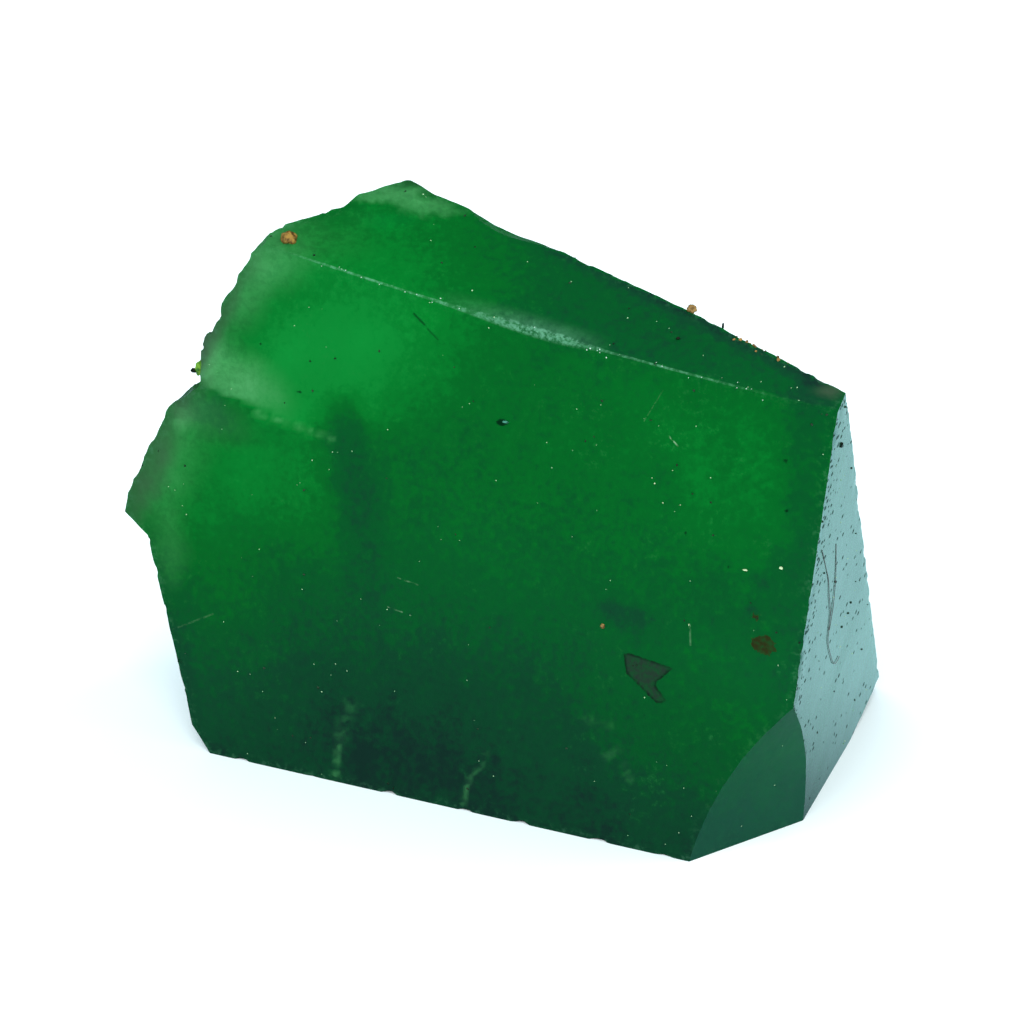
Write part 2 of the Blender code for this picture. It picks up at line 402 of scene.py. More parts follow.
class SpeckEffect(Effect):
    """Specks scattered over a flat map, each with a size of its own."""

    name = "specks"
    takes = {"Place": "Vector", "Spacing": "Float", "Radius": "Float", "Share": "Float"}
    least = 0.45  # of the radius
    core = 0.55  # of the speck

    def wire(self, bench: Bench, entry: bpy.types.NodeOutputs) -> Socket:
        """Cells with a small disc in some of them.

        Args:
            bench: the bench of the group's tree.
            entry: the group's inputs.

        Returns:
            The mask.
        """
        scale = bench.math("DIVIDE", 1.0, entry["Spacing"])
        feeds = {"Vector": entry["Place"], "Scale": scale}
        cells = bench.add("ShaderNodeTexVoronoi", feeds, voronoi_dimensions="2D")
        chance = bench.add("ShaderNodeSeparateColor", {0: cells.outputs["Color"]}).outputs
        gap = bench.times(cells.outputs["Distance"], entry["Spacing"])
        size = bench.times(entry["Radius"], bench.span(chance[1], 0.0, 1.0, self.least, 1.0))
        disc = bench.span(gap, size, bench.times(size, self.core))
        return bench.times(disc, bench.math("LESS_THAN", chance[0], entry["Share"]))


@dataclass(frozen=True)
class Effects:
    """The effects that the finishes share."""

    line: LineEffect = field(default_factory=LineEffect)
    speck: SpeckEffect = field(default_factory=SpeckEffect)


# ---------------------------------------------------------------- marks


@dataclass(frozen=True)
class Patch:
    """An oval on a face: its middle and half sizes in millimetres, its turn in degrees."""

    across: float
    up: float
    half_width: float
    half_height: float
    turn: float = 0.0
    softness: float = 0.9
    strength: float = 1.0

    def reach(self, bench: Bench, place: Socket) -> Socket:
        """The oval's own distance.

        Args:
            bench: the bench of the tree.
            place: where it is read.

        Returns:
            0 in its middle, 1 on its rim.
        """
        away = bench.vector("SUBTRACT", place, (self.across, self.up, 0.0))
        feeds = {"Vector": away, "Angle": -math.radians(self.turn)}
        turned = bench.out("ShaderNodeVectorRotate", feeds, rotation_type="Z_AXIS")
        half = (self.half_width, self.half_height, 1.0)
        return bench.vector("LENGTH", bench.vector("DIVIDE", turned, half))

    def drawn(self, bench: Bench, place: Socket) -> Socket:
        """Draws the oval straight into a tree, times its strength."""
        mask = bench.span(self.reach(bench, place), 1.0 + self.softness, 1.0 - self.softness)
        return bench.times(mask, self.strength)

    def inside(self, bench: Bench, place: Socket) -> Socket:
        """How far inside the oval a place is, in millimetres, under 0 outside it."""
        return bench.times(bench.minus(1.0, self.reach(bench, place)), min(self.half_width, self.half_height))


@dataclass(frozen=True)
class Plate:
    """A flat shape with straight sides: its corners across and up, anti-clockwise."""

    corners: tuple[tuple[float, float], ...]

    def inside(self, bench: Bench, place: Socket) -> Socket:
        """How far inside the shape a place is.

        Args:
            bench: the bench of the tree.
            place: where it is read.

        Returns:
            The distance from the nearest side, in millimetres, under 0 outside the shape.
        """
        depths = []
        for start, end in zip(self.corners, (*self.corners[1:], self.corners[0])):
            side = (Vector(end) - Vector(start)).normalized()
            away = bench.vector("SUBTRACT", place, (*start, 0.0))
            depths.append(bench.vector("DOT_PRODUCT", away, (-side.y, side.x, 0.0)))
        return bench.chain("MINIMUM", tuple(depths))


@dataclass(frozen=True)
class Line:
    """A fine line on a face: its ends and its width in millimetres."""

    start: tuple[float, float]
    end: tuple[float, float]
    width: float = 0.05
    strength: float = 1.0

    def mask(self, bench: Bench, effects: Effects, place: Socket) -> Socket:
        """Draws the line with the shared effect, times its strength."""
        ends = {"Start": (*self.start, 0.0), "End": (*self.end, 0.0)}
        return bench.times(effects.line.put_in(bench, Place=place, Width=self.width, **ends), self.strength)

    def drawn(self, bench: Bench, place: Socket) -> Socket:
        """Draws the line straight into a tree, times its strength."""
        gap = bench.from_line(place, (*self.start, 0.0), (*self.end, 0.0))
        return bench.span(gap, self.width, 0.0, 0.0, self.strength)


@dataclass(frozen=True)
class Grit:
    """A layer of noise: its size in millimetres, its finer layers, and how strong it is."""

    size: float
    detail: float
    rough: float
    strength: float
    upright: float = 1.0

    def swing(self, bench: Bench, place: Socket) -> Socket:
        """The noise about nothing before its strength; under 1, upright draws it out upwards."""
        drawn_up = bench.vector("MULTIPLY", place, (1.0, 1.0, self.upright))
        return bench.swing(drawn_up, self.size, self.detail, self.rough)


@dataclass(frozen=True)
class Clouds:
    """The soft variation of the stone's tone, with painted light and shade, by how far across and how high
    each part lies.
    """

    rise: Span = (0.5, 15.0, 0.13, 0.56)  # painted light and shade: darker at the foot, brighter towards the top
    mottle: Grit = Grit(1.5, 5.0, 0.62, 0.25, 0.6)
    grain: Grit = Grit(0.5, 3.0, 0.7, 0.25)
    columns: Grit = Grit(1.3, 3.0, 0.6, 0.3, 0.22)
    columns_fall: Span = (9.0, 3.0)
    glow_stray: tuple[float, float] = (2.6, 1.8)  # size and reach
    haze_stray: tuple[float, float] = (1.0, 0.7)
    wisp_stray: tuple[float, float] = (0.5, 0.4)
    wisp_look: Span = (0.5, 0.9)
    wisp_grain: Span = (-0.12, 0.14)
    haze_mottle: float = 1.8
    frost: Grit = Grit(1.8, 3.0, 0.6, 0.5)
    frost_clumps: Span = (0.0, 0.22)
    frost_across: Span = (-2.0, 8.0, 0.3, 0.8)
    frost_low: Span = (12.0, 7.0, 0.0, 0.2)
    glow: tuple[Patch, ...] = (
        Patch(-5.0, 18.8, 4.4, 2.5, 16, 0.95, 0.4),  # painted light on the bright shoulder
        Patch(-6.0, 21.6, 2.8, 1.0, 0, 0.9, 0.12),
        Patch(-6.6, 16.6, 2.8, 1.7, 10, 0.9, 0.26),
        Patch(-8.1, 15.1, 1.5, 0.6, -14, 0.9, 0.26),  # bright tail of the cloud
        Patch(-11.9, 10.2, 2.8, 3.0, 0, 0.95, 0.28),  # bright patches inside the spur
        Patch(-7.1, 10.8, 1.8, 2.4, 20, 0.95, 0.16),
        Patch(-8.6, 12.8, 2.6, 1.4, 0, 0.95, 0.14),
        Patch(-9.6, 6.6, 2.4, 1.8, 0, 0.9, 0.14),
        Patch(-10.0, 3.0, 4.0, 2.6, 0, 0.9, 0.1),
        Patch(10.6, 16.2, 2.8, 2.6, 0, 0.9, 0.14),
        Patch(5.0, 16.6, 3.0, 1.6, 0, 0.9, 0.06),
        Patch(10.0, 5.0, 4.0, 3.0, 0, 0.9, 0.2),
        Patch(-4.7, 12.8, 0.9, 3.6, 12, 0.9, -0.2),  # dark veil
        Patch(-5.4, 15.3, 0.7, 1.0, 0, 0.8, -0.1),
        Patch(8.1, 15.2, 0.5, 0.9, 20, 0.9, -0.14),
        Patch(-11.0, 14.3, 1.5, 0.7, -12, 0.7, -0.2),  # shade under the cloud
        Patch(-3.4, 2.0, 2.4, 1.8, 0, 0.9, -0.1),
        Patch(1.6, 1.4, 3.0, 1.2, 0, 0.9, -0.06),
        Patch(13.55, 15.2, 0.9, 5.8, 1, 0.8, -0.18),  # strip beside the end face
        Patch(12.2, 12.0, 0.4, 0.3, 0, 0.9, -0.2),
        Patch(12.1, 10.6, 0.3, 0.2, 0, 0.9, -0.24),
        Patch(13.6, 19.4, 1.4, 0.8, 0, 0.7, -0.05),
        Patch(6.7, 9.6, 0.8, 0.5, 0, 0.8, -0.22),
        Patch(12.6, 3.0, 1.6, 3.2, 0, 0.6, 0.12),  # hollow corner
    )
    haze: tuple[Patch, ...] = (
        Patch(-8.9, 21.1, 1.3, 0.9, -10, 0.9, 0.44),  # frosted shoulder
        Patch(-9.8, 19.4, 0.8, 1.5, -26, 0.9, 0.36),
        Patch(-11.2, 16.9, 0.45, 1.0, -20, 0.9, 0.4),
        Patch(-13.1, 11.8, 1.2, 2.6, -24, 0.95, 0.26),
        Patch(-12.6, 8.4, 0.6, 1.2, 0, 0.9, 0.2),
        Patch(-12.2, 14.0, 0.4, 0.5, 0, 0.7, 0.5),
        Patch(-11.0, 14.2, 1.4, 0.7, -12, 0.9, 0.16),
        Patch(-7.2, 21.7, 1.6, 0.5, 0, 0.9, 0.08),
        Patch(-4.7, 22.66, 2.0, 0.16, -2, 0.6, 0.6),  # pale band under the tip
    )
    cloud: Patch = Patch(-10.15, 15.85, 1.7, 1.0, -14, 0.95, 0.84)
    crack_start: Spot = (-11.2, 15.45, 0.0)  # the cloud lies over a healed crack
    crack_out: Spot = (0.19, 1.0, 0.0)
    cloud_edge: Span = (-0.1, 0.2)
    wisps: tuple[Line, ...] = (
        Line((-9.0, 14.8), (-5.7, 14.35), 0.22, 0.5),  # the crack runs on
        Line((-4.4, 3.4), (-4.8, 2.0), 0.5, 0.16),
        Line((-4.85, 1.6), (-4.9, 0.0), 0.26, 0.38),
        Line((1.5, 2.7), (1.35, 2.1), 0.14, 0.45),
        Line((1.35, 2.1), (0.85, 1.4), 0.14, 0.3),
        Line((0.85, 1.3), (0.66, 0.3), 0.16, 0.45),
        Line((5.6, 4.9), (6.6, 4.9), 0.3, 0.14),
        Line((6.3, 3.4), (7.0, 4.0), 0.24, 0.2),
        Line((7.3, 3.4), (7.6, 2.8), 0.24, 0.24),
    )
    stain: tuple[Plate, ...] = (
        Plate(((6.91, 8.09), (7.09, 7.22), (8.19, 6.91), (9.03, 7.83))),  # flat inclusion
        Plate(((7.09, 7.22), (8.4, 6.25), (8.93, 6.36), (8.0, 7.3), (7.4, 7.7))),
    )
    rust: tuple[Patch, ...] = (
        Patch(12.56, 9.5, 0.46, 0.4),
        Patch(12.15, 10.55, 0.12, 0.1),
    )
    pits: tuple[Patch, ...] = (
        Patch(-7.2, 15.96, 0.13, 0.1, -20),
        Patch(1.37, 16.3, 0.26, 0.15, 8),
        Patch(-8.9, 17.6, 0.07, 0.07),
        Patch(13.0, 15.0, 0.1, 0.1),
        Patch(12.8, 16.9, 0.1, 0.12),
        Patch(10.9, 12.3, 0.1, 0.08),
        Patch(9.1, 13.3, 0.07, 0.09),
    )
    rind: tuple[Patch, ...] = (
        Patch(-13.7, 11.4, 0.7, 2.2, -24, 0.7, 0.62),  # brownish rim of the spur
        Patch(-11.2, 17.4, 0.36, 3.6, -26, 0.8, 0.5),
        Patch(-11.8, 16.4, 0.7, 1.5, -20, 0.9, 0.5),
        Patch(-12.2, 14.3, 0.5, 0.4, 0, 0.7, 0.3),
        Patch(14.0, 19.55, 0.45, 0.14, 0, 0.8, 0.8),  # chipped corner of the crest
        Patch(-4.6, 22.96, 1.6, 0.12, 0, 0.6, 0.3),
    )
    bevel_look: Span = (0.9, 0.97)
    bevel_shade: Span = (-6.0, 8.0, 0.04, 0.2)
    crest_left: Spot = (0.2, -1.4, 22.4)
    crest_right: Spot = (13.4, -4.3, 19.9)
    crest_shade: Span = (1.1, 0.0, 0.0, 0.38)
    ridge_left: float = -9.3
    ridge_right: float = 14.4
    ridge_drop: float = 0.258

    def marks(self, bench: Bench, place: Socket, facing: Socket) -> dict[str, Socket]:
        """Works the clouds out for each point.

        Args:
            bench: the bench of the tree.
            place: the point, in millimetres.
            facing: its normal.

        Returns:
            The glow (the stone's tone with painted light and shade), the haze, the rind and the frost from 0
            to 1, and distances in millimetres: from the ridge, the crest and the front face, and into the
            stains, the rust and the pits.
        """
        across, _, height = bench.parts(place)
        flat = bench.joined(across, height)
        narrow = bench.vector("ADD", flat, bench.wander(place, *self.haze_stray))
        mottle = self.mottle.swing(bench, place)
        grain = self.grain.swing(bench, place)
        from_crest = bench.from_line(place, self.crest_left, self.crest_right)
        patchy = bench.total(1.0, bench.times(mottle, self.haze_mottle))
        haze = bench.total(
            self.hanging_cloud(bench, narrow),
            self.wispy(bench, place, flat, facing, grain),
            *(patch.drawn(bench, narrow) for patch in self.haze),
        )
        rind = bench.total(*(patch.drawn(bench, narrow) for patch in self.rind))
        return {
            "glow": self.glowing(bench, place, facing, (mottle, grain), from_crest),
            "haze": bench.times(haze, patchy, clamp=True),
            "rind": bench.times(rind, patchy, clamp=True),
            "frost": self.frosted(bench, place),
            "ridge_gap": self.ridge_gap(bench, place, across),
            "crest_gap": from_crest,
            "front_gap": bench.minus(FRONT_OFFSET, bench.toward(place, Face.FRONT)),
            **{
                name: bench.highest(*(mark.inside(bench, flat) for mark in getattr(self, name)))
                for name in ("stain", "rust", "pits")
            },
        }

    def glowing(
        self, bench: Bench, place: Socket, facing: Socket, grits: tuple[Socket, Socket], from_crest: Socket
    ) -> Socket:
        """How bright the stone's body is painted: its own tone with painted light and shade, lighter on the
        shoulder and top, darker at the foot, with painted shade on the bevel and along the crest.

        Args:
            bench: the bench of the tree.
            place: the point, in millimetres.
            facing: its normal.
            grits: the mottle and the grain.
            from_crest: how far the point is from the crest.

        Returns:
            0 where it is darkest, 1 where it is brightest.
        """
        across, _, height = bench.parts(place)
        wide = bench.vector("ADD", bench.joined(across, height), bench.wander(place, *self.glow_stray))
        column = bench.times(self.columns.swing(bench, place), bench.span(height, *self.columns_fall))
        lit = bench.total(
            bench.span(height, *self.rise),
            bench.times(grits[0], self.mottle.strength),
            bench.times(grits[1], self.grain.strength),
            bench.times(column, self.columns.strength),
            *(patch.drawn(bench, wide) for patch in self.glow),
        )
        shade = bench.total(bench.span(across, *self.bevel_shade), bench.span(from_crest, *self.crest_shade))
        on_bevel = bench.span(bench.toward(facing, Face.BEVEL), *self.bevel_look)
        return bench.minus(lit, bench.times(on_bevel, shade), clamp=True)

    def hanging_cloud(self, bench: Bench, flat: Socket) -> Socket:
        """The pale cloud, cut off along the healed crack under it."""
        over = bench.vector("DOT_PRODUCT", bench.vector("SUBTRACT", flat, self.crack_start), self.crack_out)
        return bench.times(self.cloud.drawn(bench, flat), bench.span(over, *self.cloud_edge))

    def wispy(self, bench: Bench, place: Socket, flat: Socket, facing: Socket, grain: Socket) -> Socket:
        """Broken wisps, seen on the front only.

        Args:
            bench: the bench of the tree.
            place: the point, in millimetres.
            flat: how far across and how high it is.
            facing: its normal.
            grain: fine noise about nothing.

        Returns:
            How pale they are.
        """
        strayed = bench.vector("ADD", flat, bench.wander(place, *self.wisp_stray))
        wisps = bench.total(*(line.drawn(bench, strayed) for line in self.wisps))
        on_front = bench.span(bench.toward(facing, Face.FRONT), *self.wisp_look)
        return bench.times(wisps, bench.span(grain, *self.wisp_grain), on_front)

    def frosted(self, bench: Bench, place: Socket) -> Socket:
        """Clumps of frosting, thicker to the right and low down.

        Args:
            bench: the bench of the tree.
            place: the point, in millimetres.

        Returns:
            How thick it lies, from 0 to 1.
        """
        across, _, height = bench.parts(place)
        clumps = bench.span(self.frost.swing(bench, place), *self.frost_clumps)
        lean = bench.total(bench.span(across, *self.frost_across), bench.span(height, *self.frost_low))
        return bench.times(clumps, lean, self.frost.strength)

    def ridge_gap(self, bench: Bench, place: Socket, across: Socket) -> Socket:
        """How far a point is from the ridge, which is rubbed down along its middle.

        Args:
            bench: the bench of the tree.
            place: the point, in millimetres.
            across: how far across it lies.

        Returns:
            A little less than the distance, in millimetres.
        """
        length = self.ridge_right - self.ridge_left
        share = bench.math("DIVIDE", bench.minus(across, self.ridge_left), length, clamp=True)
        drop = bench.times(bench.math("SINE", bench.times(share, math.pi)), self.ridge_drop)
        under = (
            bench.minus(FRONT_OFFSET, bench.toward(place, Face.FRONT)),
            bench.minus(BEVEL_OFFSET, bench.toward(place, Face.BEVEL), drop),
        )
        return bench.total(*(bench.math("ABSOLUTE", gap) for gap in under))


# ---------------------------------------------------------------- finishes


@dataclass(frozen=True)
class EmeraldFinish:
    """Cloudy green beryl, with its veils and stains, painted light and shade in its green, a worn ridge with
    a painted highlight, a painted sheen on the corner, and a pitted end face with a painted sheen, a painted
    highlight along its edge and painted shade in its pits.
    """

    name: str = "cloudy green beryl"
    transmission: float = 0.55
    ior: float = 1.58
    coat_roughness: float = 0.09
    coat_ior: float = 1.5
    reflection_tint: Colour = Colour(20, 120, 80)
    absorption: Colour = Colour(10, 205, 140)
    absorption_density: float = 120.0

    # Body colour with painted light and shade, from the painted shade of the dark foot to the painted light
    # of the bright shoulder.
    depths: tuple[tuple[float, Colour], ...] = (
        (0.0, Colour(26, 60, 52)),
        (0.22, Colour(18, 84, 52)),
        (0.42, Colour(6, 103, 45)),
        (0.62, Colour(1, 122, 40)),
        (0.8, Colour(1, 142, 46)),
        (1.0, Colour(9, 158, 56)),
    )
    fine: Grit = Grit(0.25, 3.0, 0.75, 0.42)
    roughness: float = 0.42
    fine_rough: float = 0.3
    pale_rough: float = 0.25
    end_polish: float = 0.16
    pit_rough: float = 0.3
    skin_size: float = 0.3
    skin_height: float = 0.008
    smooth_look: Span = (0.9, 0.97)
    end_look: Span = (0.88, 0.96)
    corner_look: Span = (0.82, 0.92)
    mark_edge: Span = (-0.02, 0.03)
    haze_colour: Colour = Colour(96, 190, 112)
    haze_break: Span = (-0.2, 0.2, 0.8, 1.2)
    rind_colour: Colour = Colour(74, 98, 74)
    flecked: Span = (-0.16, 0.1, 0.4, 1.0)
    broken: Span = (-0.1, 0.14)
    stain_colour: Colour = Colour(50, 66, 56)
    stain_rim: Colour = Colour(24, 44, 34)
    rim_depth: Span = (0.14, 0.02)
    stain_ragged: float = 0.14
    rust_colour: Colour = Colour(62, 50, 22)
    rust_ragged: float = 0.6
    dark_colour: Colour = Colour(4, 44, 26)
    pits_ragged: float = 0.1
    pits_shown: float = 0.9
    dark_lines: tuple[Line, ...] = (
        Line((-2.5, 19.95), (-2.05, 19.6), 0.08, 0.8),
        Line((-1.9, 19.45), (-1.45, 19.1), 0.06, 0.6),
    )
    pale_colour: Colour = Colour(186, 226, 180)
    pale_lines: tuple[Line, ...] = (
        Line((8.15, 17.02), (8.54, 16.69), 0.05, 1.0),
        Line((7.79, 18.76), (7.12, 17.42), 0.035, 0.2),
        Line((-2.64, 9.16), (-1.77, 9.04), 0.045, 0.45),
        Line((-3.0, 7.87), (-2.39, 7.78), 0.045, 0.5),
        Line((-12.41, 4.96), (-10.61, 6.02), 0.06, 0.16),
        Line((9.54, 9.7), (9.62, 8.9), 0.06, 0.3),
    )
    speckle_colour: Colour = Colour(62, 150, 88)
    speckles: Span = (0.04, 0.26)
    # partly worn white, partly a painted highlight along the ridge
    ridge_wear_and_highlight_colour: Colour = Colour(150, 226, 186)
    ridge_band: tuple[Span, Span] = ((-2.4, 2.4), (5.8, 3.4))  # where it comes and goes
    ridge_line: tuple[Span, Span] = ((-8.6, -5.6), (13.5, 7.5))
    ridge_width: float = 0.07
    ridge_swell: float = 0.2
    ridge_core: float = 0.4
    ridge_haze: Span = (0.8, 0.0, 0.0, 0.3)
    band_grain: Span = (-0.16, 0.12, 0.0, 0.7)
    line_grain: Span = (-0.08, 0.16, 0.1, 0.5)
    haze_grain: Span = (-0.5, 0.3)
    worn_colour: Colour = Colour(96, 150, 122)
    worn: Span = (0.0, 0.14, 0.0, 0.3)
    # painted sheen on the corner facet
    corner_sheen_colour: Colour = Colour(46, 126, 102)
    corner_sheen_share: float = 0.46

    # painted sheen on the end face, paler higher up
    end_sheen_low: Colour = Colour(28, 84, 66)
    end_sheen_high: Colour = Colour(46, 100, 84)
    end_rise: Span = (0.5, 9.0)
    end_sheen_share: float = 0.6
    # painted highlight along the end face's edge by the front
    edge_highlight_colour: Colour = Colour(108, 158, 164)
    edge_highlight_width: Span = (0.6, 0.2, 0.0, 0.6)
    edge_highlight_rise: Span = (8.0, 11.0)
    # painted shade in the end face's pits
    pit_shade_colour: Colour = Colour(14, 48, 40)
    pit_spacing: float = 0.25
    pit_radius: float = 0.1
    pit_crowd: Span = (2.2, 0.2, 0.1, 0.85)
    pit_stretch: float = 0.6
    pit_shade_share: float = 0.9

    def material(self, effects: Effects) -> bpy.types.Material:
        """Builds the finish.

        Args:
            effects: the shared effects.

        Returns:
            The material.
        """
        made = bpy.data.materials.new(self.name)
        bench = bench_of(made)
        place = bench.place()
        read = self.readings(bench, place)
        end, fine = read["end"], read["fine"]
        haze = bench.times(read["haze"], bench.span(fine, *self.haze_break), clamp=True)
        ridge = self.ridge(bench, read)
        pit = self.end_pits(bench, effects, read)
        colour = self.front_marks(bench, effects, read, self.body(bench, read, haze))
        colour = self.wear(bench, read, ridge, colour)
        colour = self.end_face(bench, read, pit, colour)

        rough = bench.total(
            bench.times(fine, self.fine_rough),
            self.roughness,
            bench.times(bench.highest(ridge, haze), self.pale_rough),
            bench.times(end, -self.end_polish),
            bench.times(pit, self.pit_rough),
            clamp=True,
        )
        height = bench.times(bench.noise(place, self.skin_size, 1.0), self.skin_height)
        bump = bench.out("ShaderNodeBump", {"Strength": 1.0, "Distance": MM, "Height": height})
        shader = bench.out(
            "ShaderNodeBsdfPrincipled",
            {
                "Base Color": colour,
                "Roughness": rough,
                "IOR": self.ior,
                "Specular Tint": self.reflection_tint.linear(),
                "Transmission Weight": self.transmission,
                "Coat Weight": bench.times(end, bench.minus(1.0, pit), clamp=True),
                "Coat Roughness": self.coat_roughness,
                "Coat IOR": self.coat_ior,
                "Normal": bump,
            },
        )
        feeds = {"Color": self.absorption.linear(), "Density": self.absorption_density}
        depth = bench.out("ShaderNodeVolumeAbsorption", feeds)
        bench.add("ShaderNodeOutputMaterial", {"Surface": shader, "Volume": depth})
        return made

    def readings(self, bench: Bench, place: Socket) -> dict[str, Socket]:
        """All that the finish reads at a place.

        Args:
            bench: the bench of the material.
            place: the place on the stone.

        Returns:
            A mask for each smooth face, the place by its parts, fine noise and what the skin holds.
        """
        facing = bench.add("ShaderNodeNewGeometry").outputs["Normal"]
        read = dict(zip("xyz", bench.parts(place)))
        read["fine"] = self.fine.swing(bench, place)
        for name, face, look in (
            ("front", Face.FRONT, self.smooth_look),
            ("bevel", Face.BEVEL, self.smooth_look),
            ("end", Face.END, self.end_look),
            ("corner", Face.CORNER, self.corner_look),
        ):
            read[name] = bench.span(bench.toward(facing, face), *look)
        held = "glow", "haze", "rind", "frost", "stain", "rust", "pits", "ridge_gap", "front_gap", "edge_wear"
        for name in held:
            read[name] = bench.add("ShaderNodeAttribute", attribute_name=name).outputs["Fac"]
        return read

    def body(self, bench: Bench, read: dict[str, Socket], haze: Socket) -> Socket:
        """The stone's green with the glow's painted light and shade, and its haze and rind.

        Args:
            bench: the bench of the material.
            read: what readings gives.
            haze: how hazy each place is.

        Returns:
            The colour.
        """
        glow = bench.total(read["glow"], bench.times(read["fine"], self.fine.strength), clamp=True)
        colour = bench.mix(haze, bench.ramp(glow, *self.depths), self.haze_colour.linear())
        return bench.mix(read["rind"], colour, self.rind_colour.linear())

    def front_marks(
        self, bench: Bench, effects: Effects, read: dict[str, Socket], colour: Socket
    ) -> Socket:
        """Stains, pits and scratches on the front; the larger ones have ragged outlines.

        Args:
            bench: the bench of the material.
            effects: the shared effects.
            read: what readings gives.
            colour: the colour under them.

        Returns:
            The colour.
        """

        def spread(name: str, ragged: float) -> Socket:
            """A patch with an edge that strays by a distance in millimetres."""
            return bench.span(bench.total(read[name], bench.times(read["fine"], ragged)), *self.mark_edge)

        def scratched(lines: tuple[Line, ...]) -> Socket:
            """The strongest of several lines at each place."""
            return bench.highest(*(line.mask(bench, effects, flat) for line in lines))

        flat = bench.joined(read["x"], read["z"])
        flecked = bench.span(read["fine"], *self.flecked)
        rim = bench.span(read["stain"], *self.rim_depth)
        stain_tone = bench.mix(rim, self.stain_colour.linear(), self.stain_rim.linear())
        dark = self.dark_colour.linear()
        for mask, shown, tone in (
            (spread("stain", self.stain_ragged), flecked, stain_tone),
            (spread("rust", self.rust_ragged), flecked, self.rust_colour.linear()),
            (spread("pits", self.pits_ragged), self.pits_shown, dark),
            (scratched(self.dark_lines), 1.0, dark),
            (scratched(self.pale_lines), bench.span(read["fine"], *self.broken), self.pale_colour.linear()),
        ):
            colour = bench.mix(bench.times(mask, read["front"], shown), colour, tone)
        return colour

    def wear(self, bench: Bench, read: dict[str, Socket], ridge: Socket, colour: Socket) -> Socket:
        """Frosted clumps of pale specks, the rubbed ridge with its painted highlight, the rubbed edges, and a
        painted sheen on the corner facet.

        Args:
            bench: the bench of the material.
            read: what readings gives.
            ridge: how pale the ridge is.
            colour: the colour under them.

        Returns:
            The colour.
        """
        off_end = bench.minus(1.0, read["end"])
        speckled = bench.times(read["frost"], bench.span(read["fine"], *self.speckles), off_end)
        for share, tone in (
            (speckled, self.speckle_colour),
            # the ridge: worn white and a painted highlight
            (ridge, self.ridge_wear_and_highlight_colour),
            (bench.times(read["edge_wear"], bench.span(read["fine"], *self.worn)), self.worn_colour),
            # painted sheen on the corner facet
            (bench.times(read["corner"], self.corner_sheen_share), self.corner_sheen_colour),
        ):
            colour = bench.mix(share, colour, tone.linear())
        return colour

    def ridge(self, bench: Bench, read: dict[str, Socket]) -> Socket:
        """The rubbed ridge, worn white and with a painted highlight where its edge catches the light: a fine
        line, a white band along its middle and haze above that.

        Args:
            bench: the bench of the material.
            read: what readings gives.

        Returns:
            How pale each place is.
        """
        gap, x, fine = read["ridge_gap"], read["x"], read["fine"]
        band = bench.times(*(bench.span(x, *end) for end in self.ridge_band))
        line = bench.times(*(bench.span(x, *end) for end in self.ridge_line))
        width = bench.total(bench.times(band, self.ridge_swell), self.ridge_width)
        crisp = bench.span(gap, width, bench.times(width, self.ridge_core))
        haze = bench.times(bench.span(gap, *self.ridge_haze), band, read["bevel"])
        return bench.highest(
            bench.times(crisp, band, bench.span(fine, *self.band_grain)),
            bench.times(crisp, line, bench.span(fine, *self.line_grain)),
            bench.times(haze, bench.span(fine, *self.haze_grain)),
        )

    def end_pits(self, bench: Bench, effects: Effects, read: dict[str, Socket]) -> Socket:
        """The pits of the end face, drawn out across it and crowded towards the front.

        Args:
            bench: the bench of the material.
            effects: the shared effects.
            read: what readings gives.

        Returns:
            The pits' mask.
        """
        pits = effects.speck.put_in(
            bench,
            Place=bench.joined(bench.times(read["y"], self.pit_stretch), read["z"]),
            Spacing=self.pit_spacing,
            Radius=self.pit_radius,
            Share=bench.span(read["front_gap"], *self.pit_crowd),
        )
        return bench.times(pits, read["end"])

    def end_face(self, bench: Bench, read: dict[str, Socket], pit: Socket, colour: Socket) -> Socket:
        """The end face: a painted sheen, paler higher up, with a painted highlight along the edge beside the
        front and painted shade in its dark pits.

        Args:
            bench: the bench of the material.
            read: what readings gives.
            pit: the pits' mask.
            colour: the colour under it.

        Returns:
            The colour.
        """
        rise = bench.span(read["z"], *self.end_rise)
        # painted sheen on the end face
        sheen = bench.mix(rise, self.end_sheen_low.linear(), self.end_sheen_high.linear())
        # painted highlight along the edge beside the front
        strip = bench.times(
            read["end"],
            bench.span(read["front_gap"], *self.edge_highlight_width),
            bench.span(read["z"], *self.edge_highlight_rise),
        )
        colour = bench.mix(bench.times(read["end"], self.end_sheen_share), colour, sheen)
        colour = bench.mix(strip, colour, self.edge_highlight_colour.linear())
        # painted shade in the pits
        return bench.mix(bench.times(pit, self.pit_shade_share), colour, self.pit_shade_colour.linear())


@dataclass(frozen=True)
class GrainFinish:
    """A grain of stained matrix, or a painted highlight: two tones, mottled."""

    name: str
    main: Colour
    deep: Colour
    lump_size: float = 0.22
    deep_until: float = 0.35
    main_from: float = 0.62
    rough: Span = (0.3, 0.7, 0.35, 0.7)
    relief_size: float = 0.08
    relief_height: float = 0.02

    def material(self) -> bpy.types.Material:
        """Builds the finish.

        Returns:
            The material.
        """
        made = bpy.data.materials.new(self.name)
        bench = bench_of(made)
        place = bench.place()
        lumps = bench.noise(place, self.lump_size, 3.0, 0.6)
        height = bench.times(bench.noise(place, self.relief_size, 3.0), self.relief_height)
        feeds = {
            "Base Color": bench.ramp(lumps, (self.deep_until, self.deep), (self.main_from, self.main)),
            "Roughness": bench.span(lumps, *self.rough),
            "Normal": bench.out("ShaderNodeBump", {"Strength": 1.0, "Distance": MM, "Height": height}),
        }
        bench.add("ShaderNodeOutputMaterial", {"Surface": bench.out("ShaderNodeBsdfPrincipled", feeds)})
        return made


